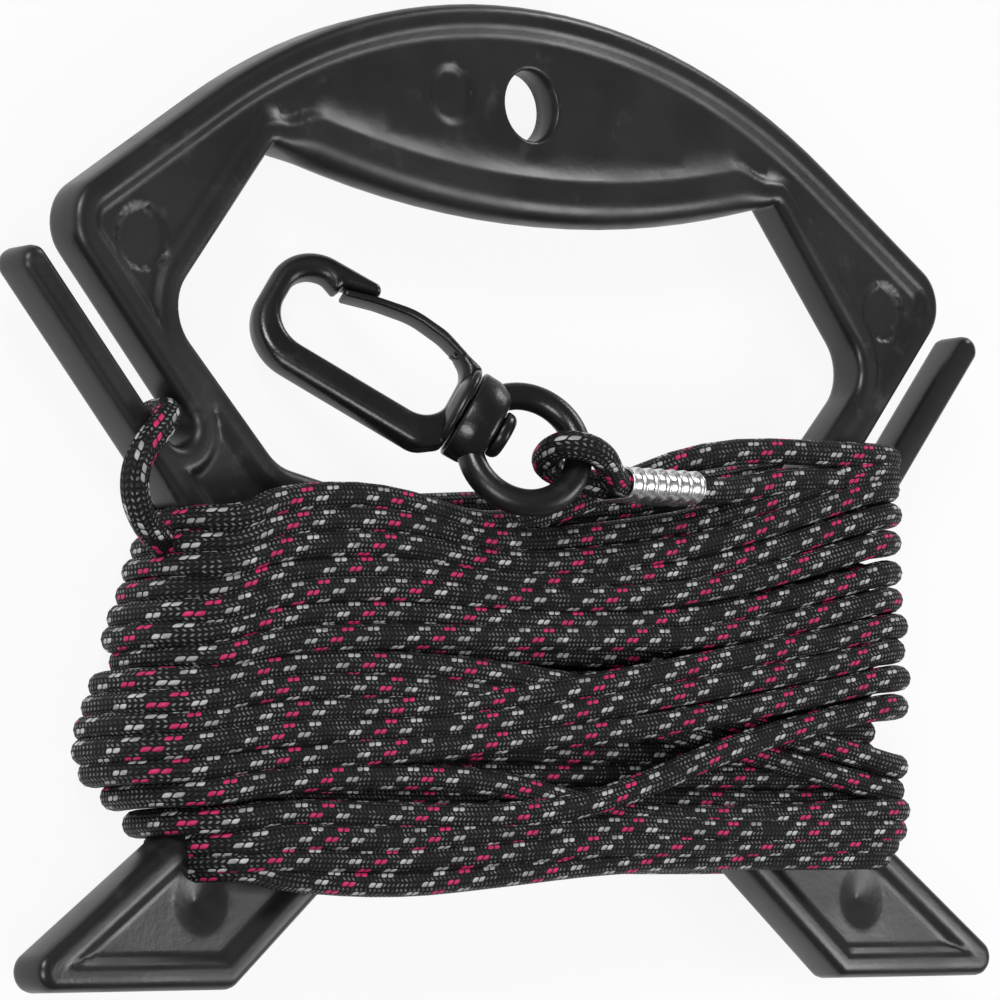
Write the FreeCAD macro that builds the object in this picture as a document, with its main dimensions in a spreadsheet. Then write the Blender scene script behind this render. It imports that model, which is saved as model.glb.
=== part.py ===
import FreeCAD, Part
import math
import os

# Line winder: one flat moulded frame with an arched grip, two horns and two feet, wound with
# braided cord that ends in a crimped eye and a swivelling snap hook.  It lies flat: +Z is up,
# X runs across the feet and +Y points from the feet to the grip.  The winding rests on Z = 0.

V = FreeCAD.Vector
doc = FreeCAD.newDocument("line_winder")

# ---------------------------------------------------------------- driving dimensions (mm, degrees)
SIZES = [
    # frame, measured from its own centre
    ("frame_thickness", 7.4), ("web_thickness", 5.2), ("rim_width", 3.4),
    ("edge_round", 2.2), ("rim_slope", -58.0), ("recess_round", 0.15),
    ("frame_half_height", 75.0),
    ("arch_radius", 120.0), ("arch_slope", 33.0), ("shoulder_x", 95.0), ("shoulder_round", 7.0),
    ("horn_angle", 49.0), ("slot_width", 5.6), ("slot_depth", 40.5), ("horn_width", 4.8),
    ("horn_drop", 1.6),
    ("waist_half_width", 67.0), ("waist_round", 6.0),
    ("foot_tip_x", 106.4), ("foot_outer_angle", 34.8), ("foot_tip_round", 3.0),
    ("foot_heel_x", 64.0), ("foot_inner_angle", 38.8), ("foot_heel_round", 3.0),
    ("crotch_height", 37.0), ("crotch_round", 12.0),
    # hand window and grip
    ("window_top_x", 51.1), ("window_top_drop", 23.4), ("window_side_x", 74.3),
    ("window_side_drop", 52.0), ("window_foot_x", 53.5), ("window_foot_drop", 73.7),
    ("window_top_round", 4.0), ("window_side_round", 7.0), ("window_foot_round", 8.0),
    ("grip_sweep_radius", 193.0), ("grip_slope", 12.0),
    ("sill_sweep_radius", 200.0), ("sill_slope", 11.3),
    # hanging hole and mould marks
    ("hole_radius", 5.6), ("hole_drop", 15.2),
    ("foot_dimple_x", 69.6), ("foot_dimple_height", 12.9), ("foot_dimple_radius", 5.2),
    ("foot_dimple_depth", 1.3),
    ("shoulder_mark_x", 78.6), ("shoulder_mark_drop", 41.9), ("shoulder_mark_radius", 4.6),
    ("gate_mark_x", 16.9), ("gate_mark_drop", 15.1), ("gate_mark_radius", 4.2),
    ("mark_depth", 0.4),
    # cord and its winding
    ("cord_diameter", 4.2), ("layer_rise", 4.0), ("winding_clearance", 0.2),
    ("winding_edge_round", 3.6),
    # crimped ferrule
    ("ferrule_length", 15.6), ("ferrule_wall", 0.5), ("ferrule_start_x", 4.0), ("ferrule_y", 0.4),
    ("ferrule_lift", 1.6), ("cord_seat", 0.15), ("ring_seat", 0.7),
    # swivel eye and snap hook, measured from the middle of the eye along the swivel's axis
    ("eye_x", -12.8), ("eye_y", 5.0), ("eye_z", 24.3), ("hook_tip_x", -44.5), ("hook_tip_y", 28.4),
    ("eye_mean_radius", 8.7), ("eye_bar_radius", 2.1), ("barrel_radius", 6.0), ("barrel_end", 10.8),
    ("barrel_start", 5.2),
    ("pin_radius", 2.2), ("pin_clearance", 0.08), ("pin_head_radius", 3.7), ("pin_head_length", 2.0),
    ("swivel_gap", 0.3),
    ("hook_length", 45.4), ("hook_half_width", 10.0), ("hook_bar", 3.7), ("hook_thickness", 4.6),
    ("hook_neck_half_width", 7.6), ("hook_neck_length", 3.6), ("hook_end_round", 7.0),
    ("nose_reach", 13.6),
    ("nose_bar", 1.9), ("gate_root_x", 15.4), ("gate_root_y", 6.8), ("gate_thickness", 1.5),
    ("gate_width", 3.6), ("gate_gap", 0.35), ("gate_catch", 3.6), ("floor_gap", 0.1),
]

sheet = doc.addObject("Spreadsheet::Sheet", "Sizes")
for row, (alias, value) in enumerate(SIZES, start=1):
    sheet.set("A%d" % row, alias)
    sheet.set("B%d" % row, str(value))
    sheet.setAlias("B%d" % row, alias)
doc.recompute()
S = {alias: float(sheet.get(alias)) for alias, value in SIZES}
bore_radius = S["pin_radius"] + S["pin_clearance"]
BARREL_ROUND = 0.8


def sine(degrees):
    return math.sin(math.radians(degrees))


def cosine(degrees):
    return math.cos(math.radians(degrees))


def tangent(degrees):
    return math.tan(math.radians(degrees))


# ---------------------------------------------------------------- profiles with rounded corners
def rounded_profile(corners):
    """Lines and arcs of a closed profile; each corner is (x, y, radius)."""
    count = len(corners)
    starts, ends, middles = [], [], []
    for i, (x, y, radius) in enumerate(corners):
        here = V(x, y, 0)
        before = V(corners[i - 1][0], corners[i - 1][1], 0) - here
        after = V(corners[(i + 1) % count][0], corners[(i + 1) % count][1], 0) - here
        before.normalize()
        after.normalize()
        half = before.getAngle(after) / 2
        reach = radius / math.tan(half)
        inward = before + after
        inward.normalize()
        starts.append(here + before * reach)
        ends.append(here + after * reach)
        middles.append(here + inward * (radius / math.sin(half) - radius))
    pieces = []
    for i in range(count):
        if corners[i][2] > 0:
            pieces.append(Part.Arc(starts[i], middles[i], ends[i]))
        following = starts[(i + 1) % count]
        if (following - ends[i]).Length > 1e-6:
            pieces.append(Part.LineSegment(ends[i], following))
    return pieces


def profile_wire(pieces):
    return Part.Wire(Part.__sortEdges__([piece.toShape() for piece in pieces]))


def mirrored(right_side):
    """A symmetric profile from its right side, listed from the top down."""
    left_side = [(-x, y, radius) for x, y, radius in reversed(right_side) if x > 1e-6]
    return right_side + left_side


def curve_pieces(wire):
    """Sketch geometry of a flat wire of lines and arcs."""
    pieces = []
    for edge in wire.Edges:
        first, last = edge.ParameterRange
        points = [edge.valueAt(first + (last - first) * share) for share in (0.0, 0.5, 1.0)]
        if edge.Curve.TypeId == "Part::GeomLine":
            pieces.append(Part.LineSegment(points[0], points[2]))
        else:
            pieces.append(Part.Arc(points[0], points[1], points[2]))
    return pieces


# ---------------------------------------------------------------- outline of the frame
half_height = S["frame_half_height"]
arch_apex = half_height + S["arch_radius"] * (1 / cosine(S["arch_slope"]) - 1)
shoulder_y = arch_apex - S["shoulder_x"] * tangent(S["arch_slope"])
horn_along = V(cosine(S["horn_angle"]), sine(S["horn_angle"]), 0)
horn_across = V(sine(S["horn_angle"]), -cosine(S["horn_angle"]), 0)
shoulder = V(S["shoulder_x"], shoulder_y, 0)
slot_end = shoulder - horn_along * S["slot_depth"]
slot_far = slot_end + horn_across * S["slot_width"]
horn_inner = shoulder + horn_across * S["slot_width"] - horn_along * S["horn_drop"]
horn_outer = horn_inner + horn_across * S["horn_width"]
horn_tip_round = S["horn_width"] / 2
slot_round = S["slot_width"] / 2
horn_root_y = horn_outer.y - (horn_outer.x - S["waist_half_width"]) * tangent(S["horn_angle"])
foot_bottom = -half_height
foot_root_y = foot_bottom + (S["foot_tip_x"] - S["waist_half_width"]) * tangent(S["foot_outer_angle"])
crotch_y = foot_bottom + S["crotch_height"]
crotch_x = S["foot_heel_x"] - S["crotch_height"] / tangent(S["foot_inner_angle"])

OUTLINE = mirrored([
    (0.0, arch_apex, S["arch_radius"]),
    (shoulder.x, shoulder.y, S["shoulder_round"]),
    (slot_end.x, slot_end.y, slot_round),
    (slot_far.x, slot_far.y, slot_round),
    (horn_inner.x, horn_inner.y, horn_tip_round),
    (horn_outer.x, horn_outer.y, horn_tip_round),
    (S["waist_half_width"], horn_root_y, S["waist_round"]),
    (S["waist_half_width"], foot_root_y, S["waist_round"]),
    (S["foot_tip_x"], foot_bottom, S["foot_tip_round"]),
    (S["foot_heel_x"], foot_bottom, S["foot_heel_round"]),
    (crotch_x, crotch_y, S["crotch_round"]),
])

# The recessed web leaves out the horns: its outline runs past the foot of each slot.
WEB_OUTLINE = mirrored([
    (0.0, arch_apex, S["arch_radius"]),
    (shoulder.x, shoulder.y, S["shoulder_round"]),
    (slot_end.x, slot_end.y, slot_round),
    (S["waist_half_width"], horn_root_y, S["waist_round"]),
    (S["waist_half_width"], foot_root_y, S["waist_round"]),
    (S["foot_tip_x"], foot_bottom, S["foot_tip_round"]),
    (S["foot_heel_x"], foot_bottom, S["foot_heel_round"]),
    (crotch_x, crotch_y, S["crotch_round"]),
])

window_top_y = half_height - S["window_top_drop"]
window_side_y = half_height - S["window_side_drop"]
window_foot_y = half_height - S["window_foot_drop"]
WINDOW = mirrored([
    (0.0, window_top_y - S["window_top_x"] * tangent(S["grip_slope"]), S["grip_sweep_radius"]),
    (S["window_top_x"], window_top_y, S["window_top_round"]),
    (S["window_side_x"], window_side_y, S["window_side_round"]),
    (S["window_foot_x"], window_foot_y, S["window_foot_round"]),
    (0.0, window_foot_y - S["window_foot_x"] * tangent(S["sill_slope"]), S["sill_sweep_radius"]),
])
grip_line_y = WINDOW[0][1] + S["grip_sweep_radius"] * (1 / cosine(S["grip_slope"]) - 1)

# The winding lies on the floor and carries the frame at half its own thickness.
winding_half = S["frame_thickness"] / 2 + S["winding_clearance"] + 2 * S["layer_rise"]


GRIP_BURIED_ANGLE = 1.5      # how far the grip's round runs on into the uprights
DIMPLE_FLOOR_RADIUS = 0.3

# Outer shape of the two layers of turns, round the frame's centre: (x, y, corner radius).
FIRST_LAYER = [
    (-68.5, -55.0, 6.0), (-74.5, -46.0, 8.0), (-74.5, -20.0, 8.0), (-69.5, -9.5, 6.0),
    (-36.0, -1.0, 20.0), (-10.0, -4.5, 10.0), (14.0, 4.5, 20.0), (54.0, 11.8, 25.0), (71.0, 9.5, 7.0),
    (75.0, -4.0, 8.0), (75.5, -50.0, 6.0), (69.5, -55.5, 5.0), (20.0, -57.0, 40.0), (-40.0, -63.5, 20.0),
]
SECOND_LAYER = [
    (-73.0, -50.0, 7.0), (-82.5, -41.0, 9.0), (-79.5, -22.0, 9.0), (-71.5, -15.0, 6.0),
    (-10.0, -6.5, 40.0), (30.0, -4.0, 30.0), (56.0, 5.0, 20.0), (74.5, 3.0, 7.0),
    (77.0, -10.0, 12.0), (77.8, -42.0, 10.0), (73.0, -50.0, 6.0), (-20.0, -53.0, 60.0),
]

# ---------------------------------------------------------------- helpers for bodies
def new_body(label, placement):
    body = doc.addObject("PartDesign::Body", label)
    body.Label = label
    body.Placement = placement
    return body


def origin_plane(body, role):
    return [feature for feature in body.Origin.OriginFeatures if feature.Role == role][0]


def new_sketch(body, name, role, pieces, offset=0.0):
    sketch = body.newObject("Sketcher::SketchObject", name)
    sketch.AttachmentSupport = (origin_plane(body, role), [""])
    sketch.MapMode = "FlatFace"
    sketch.AttachmentOffset = FreeCAD.Placement(V(0, 0, offset), FreeCAD.Rotation())
    sketch.addGeometry(pieces, False)
    return sketch


def circle(x, y, radius):
    return Part.Circle(V(x, y, 0), V(0, 0, 1), radius)


def pad(body, name, sketch, length_expression, midplane=True):
    feature = body.newObject("PartDesign::Pad", name)
    feature.Profile = sketch
    feature.Midplane = midplane
    feature.setExpression("Length", length_expression)
    doc.recompute()
    return feature


def pocket(body, name, sketch, length_expression, reverse, taper_expression=None):
    before = body.Shape.Volume
    feature = body.newObject("PartDesign::Pocket", name)
    feature.Profile = sketch
    feature.Reversed = reverse
    feature.setExpression("Length", length_expression)
    if taper_expression:
        feature.setExpression("TaperAngle", taper_expression)
    doc.recompute()
    if body.Shape.Volume > before - 1e-3:
        raise RuntimeError("pocket %s cut nothing" % name)
    return feature


def revolve(body, name, profile, axis, angle, groove=False):
    feature = body.newObject("PartDesign::Groove" if groove else "PartDesign::Revolution", name)
    feature.Profile = profile
    feature.ReferenceAxis = axis
    feature.Midplane = True
    feature.Angle = angle
    doc.recompute()
    return feature


def round_edges(body, name, radius_expression, wanted):
    base = body.Tip
    names = ["Edge%d" % (i + 1) for i, edge in enumerate(base.Shape.Edges) if wanted(edge)]
    feature = body.newObject("PartDesign::Fillet", name)
    feature.Base = (base, names)
    feature.setExpression("Radius", radius_expression)
    doc.recompute()
    return feature


def rounded_inside(face, radius):
    """The faces that a disc of this radius covers as it moves inside the given one."""
    cores = [core for part in face.Faces for core in part.makeOffset2D(-radius).Faces]
    return [grown for core in cores for grown in core.makeOffset2D(radius).Faces]


def lies_at(edge, height):
    first, last = edge.ParameterRange
    spots = [edge.valueAt(first + (last - first) * share).z for share in (0.0, 0.5, 1.0)]
    return all(abs(abs(spot) - height) < 1e-4 for spot in spots)


# ---------------------------------------------------------------- the moulded frame
def make_frame():
    body = new_body("winder_frame", FreeCAD.Placement(V(0, 0, winding_half), FreeCAD.Rotation()))
    outline = rounded_profile(OUTLINE)
    window = rounded_profile(WINDOW)
    pad(body, "FramePad", new_sketch(body, "FrameOutline", "XY_Plane", outline + window),
        "Sizes.frame_thickness")
    half = S["frame_thickness"] / 2
    round_edges(body, "OuterRound", "Sizes.edge_round", lambda edge: lies_at(edge, half))

    # The web lies recessed inside a rim that follows every edge; the horns stay solid.
    recess_outer = Part.Face(profile_wire(rounded_profile(WEB_OUTLINE))).makeOffset2D(-S["rim_width"])
    recess_inner = Part.Face(profile_wire(window)).makeOffset2D(S["rim_width"])
    recess_depth = (S["frame_thickness"] - S["web_thickness"]) / 2
    corner = recess_depth * tangent(-S["rim_slope"]) + S["recess_round"]
    fields = rounded_inside(recess_outer.cut(recess_inner), corner)
    for side, reverse in ((1, False), (-1, True)):
        for number, field in enumerate(fields, 1):
            name = "Recess%s%d" % ("Front" if side > 0 else "Back", number)
            pieces = [piece for wire in field.Wires for piece in curve_pieces(wire)]
            sketch = new_sketch(body, name, "XY_Plane", pieces, side * half)
            pocket(body, name + "Cut", sketch,
                   "(Sizes.frame_thickness - Sizes.web_thickness) / 2", reverse, "Sizes.rim_slope")

    # The lower edge of the grip is a full round, as thick as the frame.
    bar_end = math.degrees(math.asin(S["window_top_x"] / S["grip_sweep_radius"]))
    section = new_sketch(body, "GripSection", "YZ_Plane", [circle(grip_line_y, 0, half)])
    turning_y = grip_line_y + S["grip_sweep_radius"]
    section.addGeometry(Part.LineSegment(V(turning_y, 0, 0), V(turning_y, half, 0)), True)
    revolve(body, "GripRound", section, (section, ["Axis0"]), 2 * (bar_end + GRIP_BURIED_ANGLE))

    # Hanging hole, and the moulding marks: conical dimples in the feet, flat discs above.
    web_face = S["web_thickness"] / 2
    hole = new_sketch(body, "HangingHole", "XY_Plane",
                      [circle(0, half_height - S["hole_drop"], S["hole_radius"])], half)
    pocket(body, "HangingHoleCut", hole, "Sizes.frame_thickness", False)
    marks = [circle(side * S["shoulder_mark_x"], half_height - S["shoulder_mark_drop"],
                    S["shoulder_mark_radius"]) for side in (-1, 1)]
    marks.append(circle(-S["gate_mark_x"], half_height - S["gate_mark_drop"], S["gate_mark_radius"]))
    pocket(body, "MarkCut", new_sketch(body, "Marks", "XY_Plane", marks, web_face),
           "Sizes.mark_depth", False)
    for side, name in ((-1, "LeftDimple"), (1, "RightDimple")):
        dimple = body.newObject("PartDesign::SubtractiveCone", name)
        dimple.AttachmentSupport = (origin_plane(body, "XY_Plane"), [""])
        dimple.MapMode = "FlatFace"
        spot = V(side * S["foot_dimple_x"], S["foot_dimple_height"] - half_height,
                 web_face - S["foot_dimple_depth"])
        dimple.AttachmentOffset = FreeCAD.Placement(spot, FreeCAD.Rotation())
        dimple.Radius1 = DIMPLE_FLOOR_RADIUS
        dimple.setExpression("Radius2", "Sizes.foot_dimple_radius")
        dimple.setExpression("Height", "Sizes.foot_dimple_depth")
        doc.recompute()
    return body


# ---------------------------------------------------------------- the wound cord
def plate(profile, thickness):
    face = Part.Face(profile_wire(rounded_profile(profile)))
    face.translate(V(0, 0, -thickness / 2))
    return face.extrude(V(0, 0, thickness))


def softened(solid, radius, height):
    edges = [edge for edge in solid.Edges if lies_at(edge, height)]
    return solid.makeFillet(radius, edges)


def new_feature(label, shape, placement=None):
    feature = doc.addObject("Part::Feature", label)
    feature.Label = label
    feature.Shape = shape
    if placement is not None:
        feature.Placement = placement
    return feature


def make_winding():
    """Two layers of turns round the waist, as a hollow sleeve that fits over the frame."""
    plate_gap = S["frame_thickness"] + 2 * S["winding_clearance"]
    first_layer = plate_gap + 2 * S["layer_rise"]
    second_layer = first_layer + 2 * S["layer_rise"]
    lower = softened(plate(FIRST_LAYER, first_layer), S["winding_edge_round"], first_layer / 2)
    upper = softened(plate(SECOND_LAYER, second_layer), S["winding_edge_round"], second_layer / 2)
    outside = lower.fuse(upper)
    frame_face = Part.Face(profile_wire(rounded_profile(OUTLINE)))
    frame_face.translate(V(0, 0, -plate_gap / 2))
    frame_space = frame_face.extrude(V(0, 0, plate_gap))
    reach = S["waist_half_width"]
    waist_space = Part.makeBox(2 * reach, 2 * reach, plate_gap, V(-reach, -reach, -plate_gap / 2))
    shape = outside.cut(frame_space.fuse(waist_space).removeSplitter())
    return new_feature("rope_winding", shape, FreeCAD.Placement(V(0, 0, winding_half), FreeCAD.Rotation()))


# ---------------------------------------------------------------- free stretches of cord
def cord_path(label, points, tight=None):
    """Straight runs joined by tangent arcs; tight maps a corner's number to a smaller radius."""
    tight = tight or {}
    pieces = []
    previous = points[0]
    radii = []
    for i in range(1, len(points) - 1):
        before = points[i - 1] - points[i]
        after = points[i + 1] - points[i]
        half = before.getAngle(after) / 2
        shorter = min(before.Length, after.Length)
        radius = 0.45 * shorter * math.tan(half)
        radius = min(radius, tight.get(i, radius))
        radii.append(round(radius, 1))
        reach = radius / math.tan(half)
        before.normalize()
        after.normalize()
        inward = before + after
        inward.normalize()
        start = points[i] + before * reach
        end = points[i] + after * reach
        middle = points[i] + inward * (radius / math.sin(half) - radius)
        pieces.append(Part.LineSegment(previous, start).toShape())
        pieces.append(Part.Arc(start, middle, end).toShape())
        previous = end
    pieces.append(Part.LineSegment(previous, points[-1]).toShape())
    path = Part.Wire(pieces)
    print(label, "corner radii", radii, "length", round(path.Length, 1))
    return path


def cord_tube(label, points, tight=None):
    path = cord_path(label, points, tight)
    direction = points[1] - points[0]
    section = Part.Wire(Part.Circle(points[0], direction, S["cord_diameter"] / 2).toShape())
    tube = path.makePipeShell([section], True, False)
    expected = math.pi * S["cord_diameter"] ** 2 / 4 * path.Length
    if abs(tube.Volume - expected) > 0.01 * expected:
        raise RuntimeError("cord %s has volume %.1f, not %.1f" % (label, tube.Volume, expected))
    return tube


# ---------------------------------------------------------------- swivel eye, hook and gate
def hardware_placement():
    """X along the swivel's axis to the hook's tip, Y level, Z out of the flat of the hook."""
    eye = V(S["eye_x"], S["eye_y"], S["eye_z"])
    tip = V(S["hook_tip_x"], S["hook_tip_y"], S["hook_thickness"] / 2 + S["floor_gap"])
    along = tip - eye
    along.normalize()
    level = V(0, 0, 1).cross(along)
    level.normalize()
    out = along.cross(level)
    turn = FreeCAD.Rotation(along, level, out, "XYZ")
    return FreeCAD.Placement(eye, turn)


def make_eye(placement):
    body = new_body("swivel_eye", placement)
    ring = new_sketch(body, "RingSection", "XZ_Plane",
                      [circle(S["eye_mean_radius"], 0, S["eye_bar_radius"])])
    revolve(body, "Ring", ring, (ring, ["V_Axis"]), 360)
    barrel_profile = rounded_profile([
        (S["barrel_start"], 0, 0), (S["barrel_end"], 0, 0),
        (S["barrel_end"], S["barrel_radius"], BARREL_ROUND),
        (S["barrel_start"], S["barrel_radius"], BARREL_ROUND),
    ])
    barrel = new_sketch(body, "BarrelSection", "XY_Plane", barrel_profile)
    revolve(body, "Barrel", barrel, (barrel, ["H_Axis"]), 360)
    bore_profile = rounded_profile([
        (0.5, 0, 0), (S["barrel_end"] + 1, 0, 0),
        (S["barrel_end"] + 1, bore_radius, 0), (S["barrel_start"], bore_radius, 0),
        (S["barrel_start"], S["pin_head_radius"] + S["swivel_gap"], 0),
        (0.5, S["pin_head_radius"] + S["swivel_gap"], 0),
    ])
    bore = new_sketch(body, "BoreSection", "XY_Plane", bore_profile)
    revolve(body, "Bore", bore, (bore, ["H_Axis"]), 360, groove=True)
    return body


def hook_profile():
    """A bar bent round from the neck to the nose, open where the gate closes it."""
    side = S["hook_half_width"]
    inner = side - S["hook_bar"]
    neck = S["barrel_end"] + S["swivel_gap"]
    throat = neck + S["hook_neck_length"]
    tip = S["hook_length"]
    nose = tip - S["nose_reach"]
    inner_round = S["hook_end_round"] - S["hook_bar"] + 0.6
    return [
        (neck, S["hook_neck_half_width"], 1.0),
        (throat + 1.0, side, 4.0),
        (tip, side, S["hook_end_round"]),
        (tip, -side, S["hook_end_round"]),
        (nose, -side, 0.8),
        (nose, -side + S["nose_bar"], 0.8),
        (tip - S["hook_bar"] - 2.6, -side + S["nose_bar"] + 0.1, 1.2),
        (tip - S["hook_bar"] - 1.2, -inner, 0.6),
        (tip - S["hook_bar"], -inner + 1.0, inner_round * 0.4),
        (tip - S["hook_bar"], inner, inner_round),
        (throat, inner, 3.0),
        (throat, -S["gate_root_y"] + 1.6, 1.0),
        (S["gate_root_x"] - S["gate_gap"], -S["gate_root_y"] + 1.4, 0.3),
        (S["gate_root_x"] - S["gate_gap"], -S["gate_root_y"] - 1.4, 0.8),
        (neck, -S["hook_neck_half_width"], 1.0),
    ]


def make_hook(placement):
    body = new_body("snap_hook", placement)
    flat = new_sketch(body, "HookOutline", "XY_Plane", rounded_profile(hook_profile()))
    pad(body, "HookPad", flat, "Sizes.hook_thickness")
    neck = S["barrel_end"] + S["swivel_gap"]
    head_start = S["barrel_start"] - S["swivel_gap"] - S["pin_head_length"]
    spindle_profile = rounded_profile([
        (head_start, 0, 0), (neck + S["hook_neck_length"], 0, 0),
        (neck + S["hook_neck_length"], S["hook_thickness"] / 2, 0),
        (neck + S["hook_neck_length"] / 2, S["barrel_radius"], 1.0),
        (neck, S["barrel_radius"], 0.4), (neck, S["pin_radius"], 0),
        (head_start + S["pin_head_length"], S["pin_radius"], 0),
        (head_start + S["pin_head_length"], S["pin_head_radius"], 0.2),
        (head_start, S["pin_head_radius"], 1.4),
    ])
    spindle = new_sketch(body, "SpindleSection", "XY_Plane", spindle_profile)
    revolve(body, "Spindle", spindle, (spindle, ["H_Axis"]), 360)
    return body


def make_gate(placement):
    body = new_body("snap_gate", placement)
    root_x, root_y = S["gate_root_x"], -S["gate_root_y"]
    thick = S["gate_thickness"]
    outer = -S["hook_half_width"]
    nose = S["hook_length"] - S["nose_reach"]
    under_nose = outer + S["nose_bar"] + S["gate_gap"]
    tip = nose + S["gate_catch"]
    outline = [
        (root_x, root_y - 0.8, 0.4), (root_x + 3.0, outer, 3.0), (nose - 2.6, outer, 2.5),
        (nose - S["gate_gap"], under_nose, 0.4), (tip, under_nose, 0.5),
        (tip, under_nose + thick, 0.5), (nose - 0.6, under_nose + thick, 2.0),
        (nose - 3.0, outer + thick, 2.0), (root_x + 3.6, outer + thick, 2.0),
        (root_x + 0.9, root_y + 0.9, 0.8), (root_x, root_y + 0.8, 0.4),
    ]
    flat = new_sketch(body, "GateOutline", "XY_Plane", rounded_profile(outline))
    pad(body, "GatePad", flat, "Sizes.gate_width")
    return body


# ---------------------------------------------------------------- ferrule, eye of cord and loops
def ferrule_levels():
    """Heights of the two cords in the ferrule, which lies on the first layer of turns."""
    first_layer_top = winding_half + S["frame_thickness"] / 2 + S["winding_clearance"] + S["layer_rise"]
    low = first_layer_top + S["ferrule_wall"] + S["cord_diameter"] / 2 + S["ferrule_lift"]
    return low, low + S["cord_diameter"] + S["cord_seat"]


def make_ferrule():
    """An oval sleeve pressed over both cords, with shallow flats from the crimping jaws."""
    low, high = ferrule_levels()
    radius = S["cord_diameter"] / 2
    outside = radius + S["ferrule_wall"]
    start = V(S["ferrule_start_x"], S["ferrule_y"], 0)
    along = V(1, 0, 0)

    def oval(reach):
        return Part.makeBox(S["ferrule_length"], 2 * reach, high - low,
                            start + V(0, -reach, low)).fuse([
            Part.makeCylinder(reach, S["ferrule_length"], start + V(0, 0, height), along)
            for height in (low, high)]).removeSplitter()

    shape = oval(outside)
    for height in (low, high):
        shape = shape.cut(Part.makeCylinder(radius, S["ferrule_length"], start + V(0, 0, height), along))
    return new_feature("crimp_ferrule", shape)


def eye_route():
    """Out of the ferrule, over the ring of the swivel eye, down through it and back below."""
    low, high = ferrule_levels()
    face = V(S["ferrule_start_x"], S["ferrule_y"], 0)
    straight = V(-1.8, 0, 0)
    turn = hardware_placement().Rotation
    out = turn.multVec(V(0, 0, 1))
    spoke = face + V(0, 0, (low + high) / 2) - hardware_placement().Base
    spoke = spoke - out * spoke.dot(out)
    spoke.normalize()
    bar = hardware_placement().Base + spoke * S["eye_mean_radius"]
    round_bar = S["eye_bar_radius"] + S["cord_diameter"] / 2 + S["ring_seat"]
    return [face + V(0, 0, high), face + V(0, 0, high) + straight,
            bar + spoke * (0.4 * round_bar) + out * round_bar,
            bar - spoke * round_bar + out * round_bar,
            bar - spoke * round_bar - out * round_bar,
            face + V(0, 0, low) + straight, face + V(0, 0, low)]


def lead_route():
    low, high = ferrule_levels()
    end_x = S["ferrule_start_x"] + S["ferrule_length"]
    y = S["ferrule_y"]
    return [V(end_x, y, low), V(27.0, y, low), V(37.0, 1.6, low - 1.8), V(47.0, 3.6, low - 1.9),
            V(58.0, 3.9, low - 2.2)]


def start_route():
    """Up from the first turns, over the horn's root, through the slot and down behind."""
    level = S["frame_thickness"] / 2 + S["winding_clearance"] + S["cord_diameter"] / 2
    middle = winding_half
    slot = slot_end + horn_across * (S["slot_width"] / 2) + horn_along * (S["slot_width"] / 2 + 2.0)
    return [V(-75.0, -19.0, middle + 2.5), V(-78.6, -9.0, middle + level),
            V(-79.4, 0.5, middle + level), V(-slot.x, slot.y, middle + level),
            V(-slot.x, slot.y, middle - level), V(-70.6, 0.0, middle - level),
            V(-67.0, -16.0, middle - level)]


def make_cords(winding):
    crotch_round = S["cord_diameter"]
    start = cord_tube("rope_start_loop", start_route(), {3: crotch_round, 4: crotch_round})
    lead = cord_tube("rope_lead", lead_route())
    eye = cord_tube("rope_eye", eye_route())
    return [new_feature("rope_start_loop", start.cut(winding.Shape)),
            new_feature("rope_lead", lead.cut(winding.Shape)),
            new_feature("rope_eye", eye)]


# ---------------------------------------------------------------- build everything
frame = make_frame()
winding = make_winding()
hardware = hardware_placement()
eye = make_eye(hardware)
hook = make_hook(hardware)
gate = make_gate(hardware)
ferrule = make_ferrule()
cords = make_cords(winding)
doc.recompute()

pieces = [frame, winding, eye, hook, gate, ferrule] + cords
for item in doc.Objects:
    if "Invalid" in item.State or "Error" in item.State:
        raise RuntimeError("%s failed: %s" % (item.Name, item.State))
for piece in pieces:
    if piece.Shape.isNull() or not piece.Shape.isValid():
        raise RuntimeError("%s has no valid shape" % piece.Label)
    box = piece.Shape.optimalBoundingBox(False)
    print(piece.Label, len(piece.Shape.Solids), "solid(s), volume", round(piece.Shape.Volume),
          "x %.1f..%.1f y %.1f..%.1f z %.1f..%.1f" % (box.XMin, box.XMax, box.YMin, box.YMax,
                                                      box.ZMin, box.ZMax))
os.makedirs("parts", exist_ok=True)
for piece in pieces:
    piece.Shape.exportStep("parts/%s.step" % piece.Label)
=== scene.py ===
import math
import random

import bmesh
import bpy
import numpy as np
from mathutils import Matrix, Vector
from mathutils.geometry import delaunay_2d_cdt


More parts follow.
